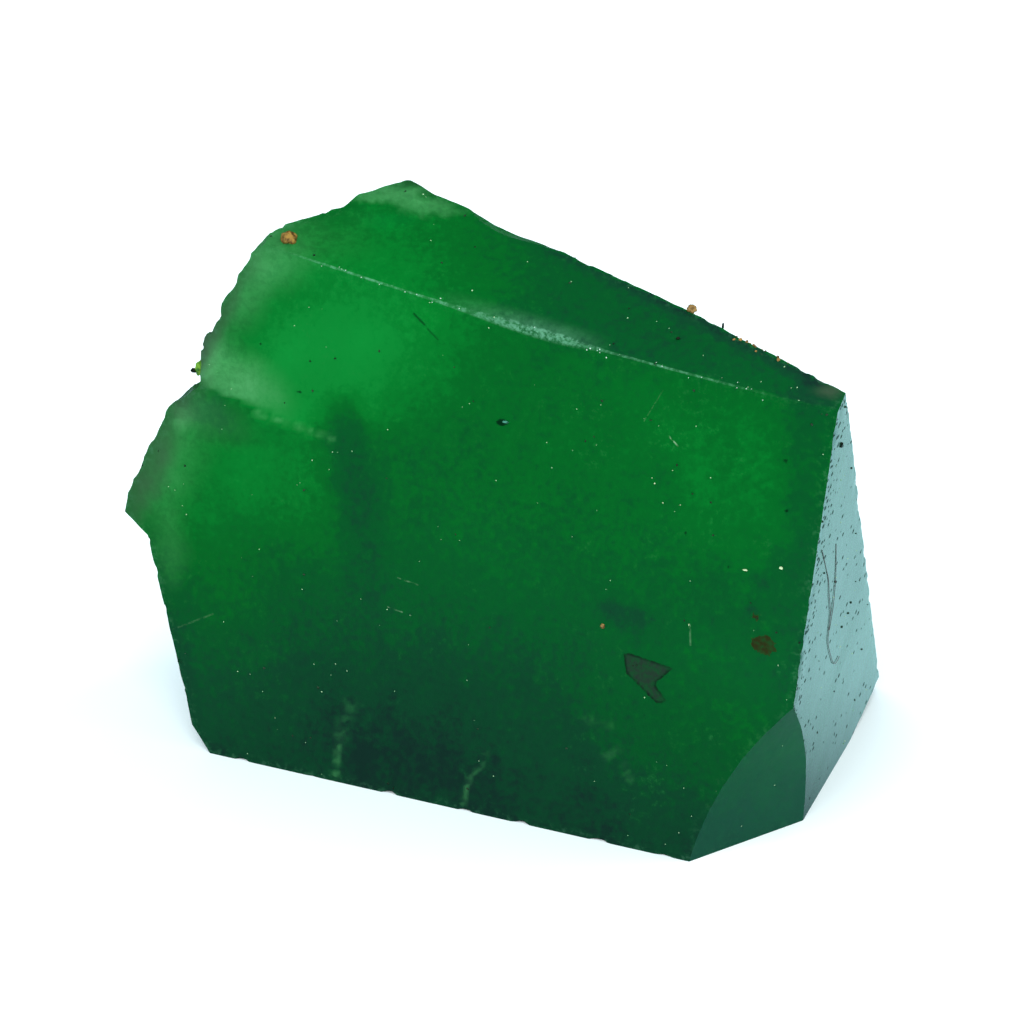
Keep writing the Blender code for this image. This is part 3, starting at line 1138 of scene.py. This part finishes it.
RUST = GrainFinish("rust brown grain", Colour(154, 116, 48), Colour(78, 54, 20))
GOLD = GrainFinish("golden grain", Colour(160, 124, 70), Colour(92, 66, 30))
SHADE = GrainFinish("dark grain", Colour(34, 40, 28), Colour(12, 26, 18))
FLECK = GrainFinish("white fleck", Colour(206, 220, 176), Colour(130, 160, 110))
MOSS = GrainFinish("yellow green grain", Colour(120, 170, 40), Colour(50, 110, 34))
# a painted highlight, not a grain
PIT_RIM_HIGHLIGHT = GrainFinish("teal glint", Colour(64, 140, 116), Colour(24, 80, 62))
CRUST = GrainFinish("pale crust", Colour(176, 170, 158), Colour(104, 116, 98))
PALE_DUST = GrainFinish("pale dust", Colour(186, 218, 172), Colour(100, 160, 110))
DARK_DUST = GrainFinish("dark dust", Colour(40, 66, 44), Colour(16, 40, 26))
RIDGE_CHIPS = GrainFinish("ridge chips", Colour(220, 236, 222), Colour(150, 190, 168))
CREST_CRUST = GrainFinish("crest crust", Colour(158, 118, 62), Colour(84, 58, 26))
THREAD = GrainFinish("grey brown thread", Colour(104, 104, 104), Colour(74, 68, 66))


# ---------------------------------------------------------------- geometry node trees


@dataclass(frozen=True)
class Relief:
    """The skin's small relief, in millimetres."""

    break_height: float = 0.07
    break_size: float = 0.9
    scallop_height: float = 0.13
    scallop_size: float = 0.46
    chip_depth: float = 0.08
    chip_size: float = 0.7
    edge_round: float = 0.03
    crown_height: float = 0.27
    crown_middle: Spot = (-5.3, -1.9, 22.6)


@dataclass(frozen=True)
class Strewing:
    """How dust lies: grains to the square millimetre, their sizes, and where they lie."""

    density: float
    least: float
    most: float
    seed: int
    clump_size: float = 2.4
    reach: float = 0.0
    left: float = -20.0
    right: float = 20.0
    floor: float = 0.2


@dataclass(frozen=True)
class Thread:
    """A fibre's radius in millimetres, and how finely it is drawn."""

    radius: float = 0.014
    steps: int = 60
    sides: int = 6


class Recipe:
    """A Geometry Nodes tree with a named input for each size, put on a piece as a modifier."""

    name = "recipe"
    kinds = {float: "Float", int: "Int", tuple: "Vector"}

    def __init__(self, sizes: Relief | Strewing | Thread) -> None:
        """Makes the tree, an input for each size, and what is inside.

        Args:
            sizes: what the inputs are set to.
        """
        labels = {size.name: size.name.replace("_", " ").capitalize() for size in fields(sizes)}
        self.sizes = {label: getattr(sizes, name) for name, label in labels.items()}
        self.tree = bpy.data.node_groups.new(self.name, "GeometryNodeTree")
        takes = {label: self.kinds[type(value)] for label, value in self.sizes.items()}
        add_sockets(self.tree, "INPUT", {"Geometry": "Geometry", **takes, "Material": "Material"})
        add_sockets(self.tree, "OUTPUT", {"Geometry": "Geometry"})
        bench = Bench(self.tree)
        entry = bench.add("NodeGroupInput").outputs
        whole = bench.out("GeometryNodeRealizeInstances", {"Geometry": self.wire(bench, entry)})
        dressed = bench.out("GeometryNodeSetMaterial", {"Geometry": whole, "Material": entry["Material"]})
        bench.add("NodeGroupOutput", {0: dressed})

    def wire(self, bench: Bench, entry: bpy.types.NodeOutputs) -> Socket:
        """Builds what is inside; each recipe has its own."""
        raise NotImplementedError

    def put_on(self, piece: bpy.types.Object, material: bpy.types.Material) -> None:
        """Puts the tree on a piece as a modifier and sets its inputs by their identifiers.

        Args:
            piece: the piece.
            material: the finish that the tree ends with.
        """
        modifier = piece.modifiers.new(self.name, "NODES")
        modifier.node_group = self.tree
        values = {**self.sizes, "Material": material}
        for item in self.tree.interface.items_tree:
            if item.in_out == "INPUT" and item.name in values:
                modifier[item.identifier] = values[item.name]


class SkinRecipe(Recipe):
    """The small relief of broken beryl, and a mask of its edges."""

    name = "skin of the stone"
    flat_look: Span = (0.94, 0.985)  # squarely out of a smooth face
    left_look: Span = (0.3, 0.6)
    scallop_rise: Span = (11.4, 12.6)
    base_rise: Span = (0.02, 0.3)
    sharp_angle: Span = (0.3, 0.9)
    edge_spread: int = 3
    chip_share: Span = (0.04, 0.2)
    chip_rise: Span = (0.3, 2.0)
    crown_reach: Span = (1.85, 1.0)

    def __init__(self, sizes: Relief, clouds: Clouds) -> None:
        """Keeps the clouds that the tree marks on each point, and makes the tree."""
        self.clouds = clouds
        super().__init__(sizes)

    def wire(self, bench: Bench, entry: bpy.types.NodeOutputs) -> Socket:
        """Marks each point and moves it along its normal, by where it lies.

        Args:
            bench: the bench of the tree.
            entry: the tree's inputs.

        Returns:
            The geometry.
        """
        place = bench.place()
        facing = bench.out("GeometryNodeInputNormal")
        height = bench.parts(place)[2]
        edge = self.edges(bench)
        move = bench.minus(
            self.breaks(bench, entry, place, facing, height), self.chips(bench, entry, place, height, edge)
        )
        move = bench.times(move, MM, bench.span(height, *self.base_rise))
        from_crown = bench.vector("LENGTH", bench.vector("SUBTRACT", place, entry["Crown middle"]))
        crown = bench.times(bench.span(from_crown, *self.crown_reach), entry["Crown height"], MM)
        geometry = entry["Geometry"]
        for name, value in {**self.clouds.marks(bench, place, facing), "edge_wear": edge}.items():
            feeds = {"Geometry": geometry, "Name": name, "Value": value}
            geometry = bench.out(
                "GeometryNodeStoreNamedAttribute", feeds, data_type="FLOAT", domain="POINT"
            )
        offset = bench.vector("ADD", bench.vector("SCALE", facing, move), bench.joined(z=crown))
        return bench.out("GeometryNodeSetPosition", {"Geometry": geometry, "Offset": offset})

    def edges(self, bench: Bench) -> Socket:
        """The sharp edges, a little spread.

        Args:
            bench: the bench of the tree.

        Returns:
            Their mask.
        """
        angle = bench.add("GeometryNodeInputMeshEdgeAngle").outputs["Signed Angle"]
        feeds = {"Value": bench.span(angle, *self.sharp_angle), "Iterations": self.edge_spread}
        return bench.times(bench.out("GeometryNodeBlurAttribute", feeds), float(self.edge_spread), clamp=True)

    def breaks(
        self, bench: Bench, entry: bpy.types.NodeOutputs, place: Socket, facing: Socket, height: Socket
    ) -> Socket:
        """How far the broken faces rise, with scallops on the upper left.

        Args:
            bench: the bench of the tree.
            entry: the tree's inputs.
            place: the point, in millimetres.
            facing: its normal.
            height: how high it is.

        Returns:
            The rise, in millimetres.
        """
        smooth = bench.highest(
            *(
                bench.span(bench.toward(facing, face), *self.flat_look)
                for face in (Face.FRONT, Face.BEVEL, Face.END, Face.BASE)
            )
        )
        broken = bench.minus(1.0, smooth)
        leftward = bench.span(bench.vector("DOT_PRODUCT", facing, (-1.0, 0.0, 0.0)), *self.left_look)
        upper = bench.span(height, *self.scallop_rise)
        rise = bench.times(bench.swing(place, entry["Break size"], 3.0), entry["Break height"])
        scallop = bench.times(bench.swing(place, entry["Scallop size"], 1.0), entry["Scallop height"])
        return bench.times(bench.total(rise, bench.times(scallop, leftward, upper)), broken)

    def chips(
        self, bench: Bench, entry: bpy.types.NodeOutputs, place: Socket, height: Socket, edge: Socket
    ) -> Socket:
        """How much the edges have lost.

        Args:
            bench: the bench of the tree.
            entry: the tree's inputs.
            place: the point, in millimetres.
            height: how high it is.
            edge: the mask of the edges.

        Returns:
            The loss, in millimetres.
        """
        gone = bench.span(bench.swing(place, entry["Chip size"], 2.0), *self.chip_share)
        loss = bench.total(bench.times(gone, entry["Chip depth"]), entry["Edge round"])
        return bench.times(edge, loss, bench.span(height, *self.chip_rise))


class DustRecipe(Recipe):
    """Grains of dust strewn over a piece, in clumps or along an edge."""

    name = "strewn dust"
    clumps: Span = (0.46, 0.7, 0.1, 1.0)
    turns: tuple[Spot, Spot] = ((0.0, 0.0, 0.0), (6.0, 6.0, 6.0))

    def __init__(self, sizes: Strewing, edge: str) -> None:
        """Keeps the attribute that tells how far the edge is, if there is one, and makes the tree."""
        self.edge = edge
        super().__init__(sizes)

    def wire(self, bench: Bench, entry: bpy.types.NodeOutputs) -> Socket:
        """Strews the grains.

        Args:
            bench: the bench of the tree.
            entry: the tree's inputs.

        Returns:
            The grains without the piece.
        """
        place = bench.place()
        across, _, height = bench.parts(place)
        crowd = bench.times(
            bench.span(bench.noise(place, entry["Clump size"]), *self.clumps),
            bench.math("GREATER_THAN", across, entry["Left"]),
            bench.math("LESS_THAN", across, entry["Right"]),
            bench.math("GREATER_THAN", height, entry["Floor"]),
        )
        if self.edge:
            gap = bench.out("GeometryNodeInputNamedAttribute", {"Name": self.edge}, data_type="FLOAT")
            crowd = bench.times(crowd, bench.math("LESS_THAN", gap, entry["Reach"]))
        thickness = bench.times(crowd, entry["Density"], 1.0 / MM**2)
        feeds = {"Mesh": entry["Geometry"], "Density": thickness, "Seed": entry["Seed"]}
        spots = bench.out("GeometryNodeDistributePointsOnFaces", feeds)

        def chance(low: Feed, high: Feed) -> Socket:
            """A vector between two others, by chance."""
            return bench.out("FunctionNodeRandomValue", {0: low, 1: high}, data_type="FLOAT_VECTOR")

        size = chance(*(bench.joined(*[entry[name]] * 3) for name in ("Least", "Most")))
        turn = chance(*self.turns)
        lump = bench.out("GeometryNodeMeshIcoSphere", {"Radius": MM, "Subdivisions": 1})
        feeds = {"Points": spots, "Instance": lump, "Rotation": turn, "Scale": size}
        return bench.out("GeometryNodeInstanceOnPoints", feeds)


class FibreRecipe(Recipe):
    """A thread along a path of points."""

    name = "fibre"

    def wire(self, bench: Bench, entry: bpy.types.NodeOutputs) -> Socket:
        """Rounds the path and gives it a thickness.

        Args:
            bench: the bench of the tree.
            entry: the tree's inputs.

        Returns:
            The thread.
        """
        path = bench.out("GeometryNodeMeshToCurve", {"Mesh": entry["Geometry"]})
        path = bench.out("GeometryNodeCurveSplineType", {"Curve": path}, spline_type="CATMULL_ROM")
        path = bench.out("GeometryNodeResampleCurve", {"Curve": path, "Count": entry["Steps"]})
        feeds = {"Resolution": entry["Sides"], "Radius": bench.times(entry["Radius"], MM)}
        ring = bench.out("GeometryNodeCurvePrimitiveCircle", feeds)
        feeds = {"Curve": path, "Profile Curve": ring, "Fill Caps": True}
        return bench.out("GeometryNodeCurveToMesh", feeds)


# ---------------------------------------------------------------- the stone


def placed(name: str, data: bpy.types.ID) -> bpy.types.Object:
    """Puts a new object in the scene, at the origin.

    Args:
        name: its name.
        data: its mesh, lamp or camera.

    Returns:
        The object.
    """
    made = bpy.data.objects.new(name, data)
    bpy.context.scene.collection.objects.link(made)
    return made


def made_plain(piece: bpy.types.Object) -> bpy.types.Mesh:
    """Turns what the modifiers make into the piece's own mesh, and removes them.

    Args:
        piece: the piece.

    Returns:
        Its new mesh.
    """
    bpy.context.view_layer.update()
    graph = bpy.context.evaluated_depsgraph_get()
    shaped = piece.evaluated_get(graph)
    mesh = bpy.data.meshes.new_from_object(shaped, preserve_all_data_layers=True, depsgraph=graph)
    piece.modifiers.clear()
    piece.data = mesh
    mesh.name = piece.name
    return mesh


@dataclass
class Crystal:
    """The stone itself: one closed skin over the solid."""

    name: str = "crystal"
    grid_depth: int = 8
    grid_share: float = 0.7
    join_distance: float = 1e-7
    crease_angle: float = 30.0
    relief: Relief = Relief()
    clouds: Clouds = Clouds()
    finish: EmeraldFinish = EmeraldFinish()

    def copy_of_solid(self) -> bpy.types.Object:
        """A copy of the solid with its loose triangles joined.

        Returns:
            The new object.
        """
        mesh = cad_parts[NODE].data.copy()
        mesh.materials.clear()
        work = bmesh.new()
        work.from_mesh(mesh)
        bmesh.ops.remove_doubles(work, verts=work.verts[:], dist=self.join_distance)
        work.to_mesh(mesh)
        work.free()
        return placed(self.name, mesh)

    def build(self, effects: Effects) -> bpy.types.Object:
        """Makes the stone's mesh and dresses it.

        Args:
            effects: the shared effects.

        Returns:
            The finished piece.
        """
        piece = self.copy_of_solid()
        grid = piece.modifiers.new("finer grid", "REMESH")
        grid.mode = "SHARP"
        grid.octree_depth = self.grid_depth
        grid.scale = self.grid_share
        grid.sharpness = 1.0
        grid.use_remove_disconnected = False
        SkinRecipe(self.relief, self.clouds).put_on(piece, self.finish.material(effects))
        mesh = made_plain(piece)
        mesh.shade_smooth()
        mesh.set_sharp_from_angle(angle=math.radians(self.crease_angle))
        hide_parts(NODE)
        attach(piece, BODY)
        return piece


# ---------------------------------------------------------------- grains, dust and fibres


def at_front(across: float, height: float) -> Spot:
    """The place on the front face that lies this far across and this high, in millimetres."""
    out = Vector(Face.FRONT.value)
    return (across, (FRONT_OFFSET - out.x * across - out.z * height) / out.y, height)


@dataclass(frozen=True)
class Grain:
    """One grain: its middle and half sizes in millimetres, and its finish."""

    middle: Spot
    half: Spot
    finish: GrainFinish


@dataclass
class LooseGrains:
    """Grains of matrix that stayed on the stone, and one flat piece that is a painted highlight on the rim of
    a pit.
    """

    name: str = "matrix_grains_and_highlight"
    detail: int = 3
    lump: float = 0.36
    lump_scale: float = 1.7
    grains: tuple[Grain, ...] = (
        Grain((-8.13, -5.0, 21.8), (0.32, 0.28, 0.26), RUST),
        Grain((7.87, -3.21, 20.96), (0.19, 0.18, 0.17), GOLD),
        Grain((9.26, -3.58, 20.68), (0.05, 0.05, 0.12), SHADE),
        Grain((7.85, -4.6, 20.35), (0.07, 0.08, 0.04), SHADE),
        Grain(at_front(6.02, 8.93), (0.09, 0.07, 0.1), GOLD),
        Grain(at_front(11.57, 12.34), (0.1, 0.05, 0.035), FLECK),
        Grain(at_front(12.98, 12.7), (0.07, 0.05, 0.06), FLECK),
        Grain(at_front(7.6, 15.25), (0.022, 0.02, 0.025), FLECK),
        Grain(at_front(7.72, 15.05), (0.03, 0.02, 0.03), FLECK),
        # a painted highlight on the rim of the oval pit, not a grain
        Grain(at_front(1.52, 16.34), (0.12, 0.03, 0.06), PIT_RIM_HIGHLIGHT),
        Grain(at_front(8.4, 15.7), (0.022, 0.02, 0.02), FLECK),
        Grain(at_front(8.1, 14.35), (0.03, 0.02, 0.025), FLECK),
        Grain(at_front(8.8, 14.4), (0.02, 0.02, 0.02), FLECK),
        Grain(at_front(9.5, 9.7), (0.02, 0.02, 0.05), FLECK),
        Grain((-11.72, -5.92, 15.95), (0.2, 0.16, 0.3), MOSS),
        Grain((-11.95, -6.0, 15.84), (0.12, 0.1, 0.1), SHADE),
        Grain((-12.5, -6.02, 13.66), (0.2, 0.14, 0.3), CRUST),
        Grain((14.52, -4.84, 17.29), (0.08, 0.12, 0.1), SHADE),
    )

    def build(self) -> list[bpy.types.Object]:
        """Makes one lumpy grain for each place.

        Returns:
            The pieces.
        """
        made = []
        for number, grain in enumerate(self.grains, 1):
            work = bmesh.new()
            bmesh.ops.create_icosphere(work, subdivisions=self.detail, radius=1.0)
            for vert in work.verts:
                swell = 1.0 + self.lump * noise.noise(vert.co * self.lump_scale + Vector((number, 0, 0)))
                vert.co = Vector(s * h for s, h in zip(vert.co * swell, grain.half))
            bmesh.ops.translate(work, verts=work.verts[:], vec=Vector(grain.middle))
            bmesh.ops.scale(work, verts=work.verts[:], vec=(MM, MM, MM))
            mesh = bpy.data.meshes.new(f"{self.name}_{number}")
            work.to_mesh(mesh)
            work.free()
            mesh.shade_smooth()
            mesh.materials.append(grain.finish.material())
            piece = placed(mesh.name, mesh)
            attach(piece, BODY)
            made.append(piece)
        return made


@dataclass(frozen=True)
class Dust:
    """One kind of dust, and the edge that it keeps to, if it does."""

    name: str
    finish: GrainFinish
    sizes: Strewing
    edge: str = ""

    def build(self, stone: bpy.types.Object) -> bpy.types.Object:
        """Strews the dust over the stone.

        Args:
            stone: the finished stone.

        Returns:
            The piece.
        """
        piece = placed(self.name, stone.data.copy())
        piece.data.materials.clear()
        DustRecipe(self.sizes, self.edge).put_on(piece, self.finish.material())
        made_plain(piece)
        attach(piece, BODY)
        return piece


DUSTS = (
    Dust("pale_dust", PALE_DUST, Strewing(0.6, 0.008, 0.036, 7)),
    Dust("dark_dust", DARK_DUST, Strewing(0.35, 0.02, 0.07, 11)),
    Dust("ridge_dust", RIDGE_CHIPS, Strewing(16.0, 0.01, 0.038, 3, 0.8, 0.12, -7.6, 12.5), "ridge_gap"),
    Dust("crest_crust", CREST_CRUST, Strewing(60.0, 0.03, 0.09, 5, 0.7, 0.38, 9.9, 12.3), "crest_gap"),
)


@dataclass(frozen=True)
class Fibre:
    """A thread that lies on the end face, given by points along it."""

    name: str
    path: tuple[Spot, ...]
    lift: float = 0.02
    sizes: Thread = Thread()
    finish: GrainFinish = THREAD

    def build(self) -> bpy.types.Object:
        """Makes the thread.

        Returns:
            The piece.
        """
        out = Vector(Face.END.value) * self.lift
        mesh = bpy.data.meshes.new(self.name)
        spots = [(Vector(spot) + out) * MM for spot in self.path]
        mesh.from_pydata(spots, [(step, step + 1) for step in range(len(spots) - 1)], [])
        piece = placed(self.name, mesh)
        FibreRecipe(self.sizes).put_on(piece, self.finish.material())
        made_plain(piece).shade_smooth()
        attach(piece, BODY)
        return piece


FIBRES = (
    Fibre(
        "straight_fibre",
        (
            *((14.15, -3.88, 12.54), (14.02, -3.37, 10.9), (13.92, -3.17, 9.68)),
            *((13.87, -3.24, 8.91), (13.84, -3.34, 8.42)),
        ),
    ),
    Fibre(
        "curled_fibre",
        (
            *((14.3, -5.99, 13.36), (14.17, -5.07, 12.12), (14.09, -4.44, 11.24), (14.01, -4.05, 10.37)),
            *((13.91, -3.52, 9.33), (13.86, -3.46, 8.58), (13.82, -3.4, 8.0), (13.76, -3.01, 7.34)),
            *((13.65, -2.13, 6.29), (13.61, -1.63, 6.01), (13.59, -1.17, 6.05)),
        ),
    ),
)


# ---------------------------------------------------------------- studio


def outward(azimuth: float, elevation: float) -> Vector:
    """The way out from the stone, by an azimuth and an elevation in degrees."""
    turn, lift = math.radians(azimuth), math.radians(elevation)
    return Vector((math.sin(turn) * math.cos(lift), -math.cos(turn) * math.cos(lift), math.sin(lift)))


@dataclass(frozen=True)
class Viewpoint:
    """Where the camera stands: it looks at the aim from an azimuth and an elevation."""

    azimuth: float = 23.0
    elevation: float = 28.0
    distance: float = 170.0
    aim: Spot = (-0.059, -1.92, 10.0)
    lens: float = 150.0
    sensor: float = 36.0
    sight: tuple[float, float] = (0.01, 20.0)  # metres

    def build(self) -> bpy.types.Object:
        """Makes the camera.

        Returns:
            The camera.
        """
        back = outward(self.azimuth, self.elevation)
        data = bpy.data.cameras.new("camera")
        data.lens = self.lens
        data.sensor_width = self.sensor
        data.clip_start, data.clip_end = self.sight
        camera = placed("camera", data)
        camera.location = (Vector(self.aim) + back * self.distance) * MM
        camera.rotation_euler = (-back).to_track_quat("-Z", "Y").to_euler()
        bpy.context.scene.camera = camera
        return camera


@dataclass(frozen=True)
class SunLamp:
    """A wide soft light from far away that gloss doesn't mirror: its place, strength and spread."""

    name: str
    azimuth: float
    elevation: float
    strength: float
    spread: float
    colour: Colour

    def build(self) -> bpy.types.Object:
        """Makes the lamp.

        Returns:
            The lamp.
        """
        back = outward(self.azimuth, self.elevation)
        data = bpy.data.lights.new(self.name, "SUN")
        data.energy = self.strength
        data.angle = math.radians(self.spread)
        data.color = self.colour.linear()[:3]
        lamp = placed(self.name, data)
        lamp.location = back
        lamp.rotation_euler = (-back).to_track_quat("-Z", "Y").to_euler()
        lamp.visible_glossy = False
        return lamp


@dataclass(frozen=True)
class Studio:
    """A pale floor, a white room and soft lamps."""

    floor_radius: float = 3.0  # metres
    floor_sides: int = 128
    floor_colour: Colour = Colour(246, 250, 253)
    room: float = 0.87
    room_colour: Colour = Colour(208, 242, 255)
    backdrop: float = 1.1
    gloss_floor: float = 0.95
    gloss_colour: Colour = Colour(187, 243, 249)
    gloss_way: Spot = (0.45, 0.89, 0.0)
    gloss_rise: Span = (-3.0, 15.0, 0.03, 1.0)
    lamps: tuple[SunLamp, ...] = (
        SunLamp("key", 5.0, 52.0, 2.4, 50.0, Colour(255, 252, 246)),
        SunLamp("side", 116.0, 34.0, 1.4, 40.0, Colour(255, 250, 240)),
    )

    def build(self) -> None:
        """Makes the floor, the room and the lamps."""
        self.floor()
        self.sky()
        for lamp in self.lamps:
            lamp.build()
        light = bpy.context.scene.cycles
        light.max_bounces = 5
        light.diffuse_bounces = 2
        light.transmission_bounces = 4
        light.caustics_reflective = False
        light.caustics_refractive = False
        view = bpy.context.scene.view_settings
        view.view_transform = "Standard"
        view.look = "None"

    def floor(self) -> bpy.types.Object:
        """A wide pale disc under the stone.

        Returns:
            The floor.
        """
        work = bmesh.new()
        bmesh.ops.create_circle(work, cap_ends=True, segments=self.floor_sides, radius=self.floor_radius)
        mesh = bpy.data.meshes.new("studio_ground")
        work.to_mesh(mesh)
        work.free()
        mesh.materials.append(self.floor_material())
        ground = placed("studio_ground", mesh)
        ground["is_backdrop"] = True
        return ground

    def floor_material(self) -> bpy.types.Material:
        """Pale matt card. In a mirror image it falls off towards the front.

        Returns:
            The material.
        """
        made = bpy.data.materials.new("pale card")
        bench = bench_of(made)
        made.cycles.emission_sampling = "NONE"
        card = bench.out("ShaderNodeBsdfDiffuse", {"Color": self.floor_colour.linear()})
        path = bench.add("ShaderNodeLightPath").outputs
        mirrored = bench.times(path["Is Glossy Ray"], bench.minus(1.0, path["Is Transmission Ray"]))
        behind = bench.span(bench.vector("DOT_PRODUCT", bench.place(), self.gloss_way), *self.gloss_rise)
        feeds = {"Color": self.gloss_colour.linear(), "Strength": bench.times(behind, self.gloss_floor)}
        glow = bench.out("ShaderNodeEmission", feeds)
        both = bench.out("ShaderNodeMixShader", {0: mirrored, 1: card, 2: glow})
        bench.add("ShaderNodeOutputMaterial", {"Surface": both})
        return made

    def sky(self) -> None:
        """A white room that gloss doesn't mirror."""
        world = bpy.data.worlds.new("white room")
        bench = bench_of(world)
        bpy.context.scene.world = world
        world.cycles_visibility.glossy = False
        seen = bench.add("ShaderNodeLightPath").outputs["Is Camera Ray"]
        feeds = {
            "Color": bench.mix(seen, self.room_colour.linear(), WHITE.linear()),
            "Strength": bench.span(seen, 0.0, 1.0, self.room, self.backdrop),
        }
        bench.add("ShaderNodeOutputWorld", {"Surface": bench.out("ShaderNodeBackground", feeds)})


# ---------------------------------------------------------------- the whole


def write_sizes() -> None:
    """Works out the solid's box and the dressed stone's box, in metres."""
    boxes = {"solid": SOLID_BOX, "dressed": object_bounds()}
    plain = {name: [list(corner) for corner in box] for name, box in boxes.items()}


def report(piece: bpy.types.Object) -> None:
    """Logs a piece's name and its number of triangles."""
    count = sum(len(face.vertices) - 2 for face in piece.data.polygons)
    LOG.info("%s: %d triangles", piece.name, count)


def main() -> None:
    """Builds the camera, the studio, the stone, its grains, dust and fibres."""
    logging.basicConfig(level=logging.INFO, format="%(name)s: %(message)s")
    Viewpoint().build()
    Studio().build()
    stone = Crystal().build(Effects())
    report(stone)
    for piece in LooseGrains().build():
        report(piece)
    for dust in DUSTS:
        report(dust.build(stone))
    for fibre in FIBRES:
        report(fibre.build())
    write_sizes()


if __name__ == "__main__":
    main()
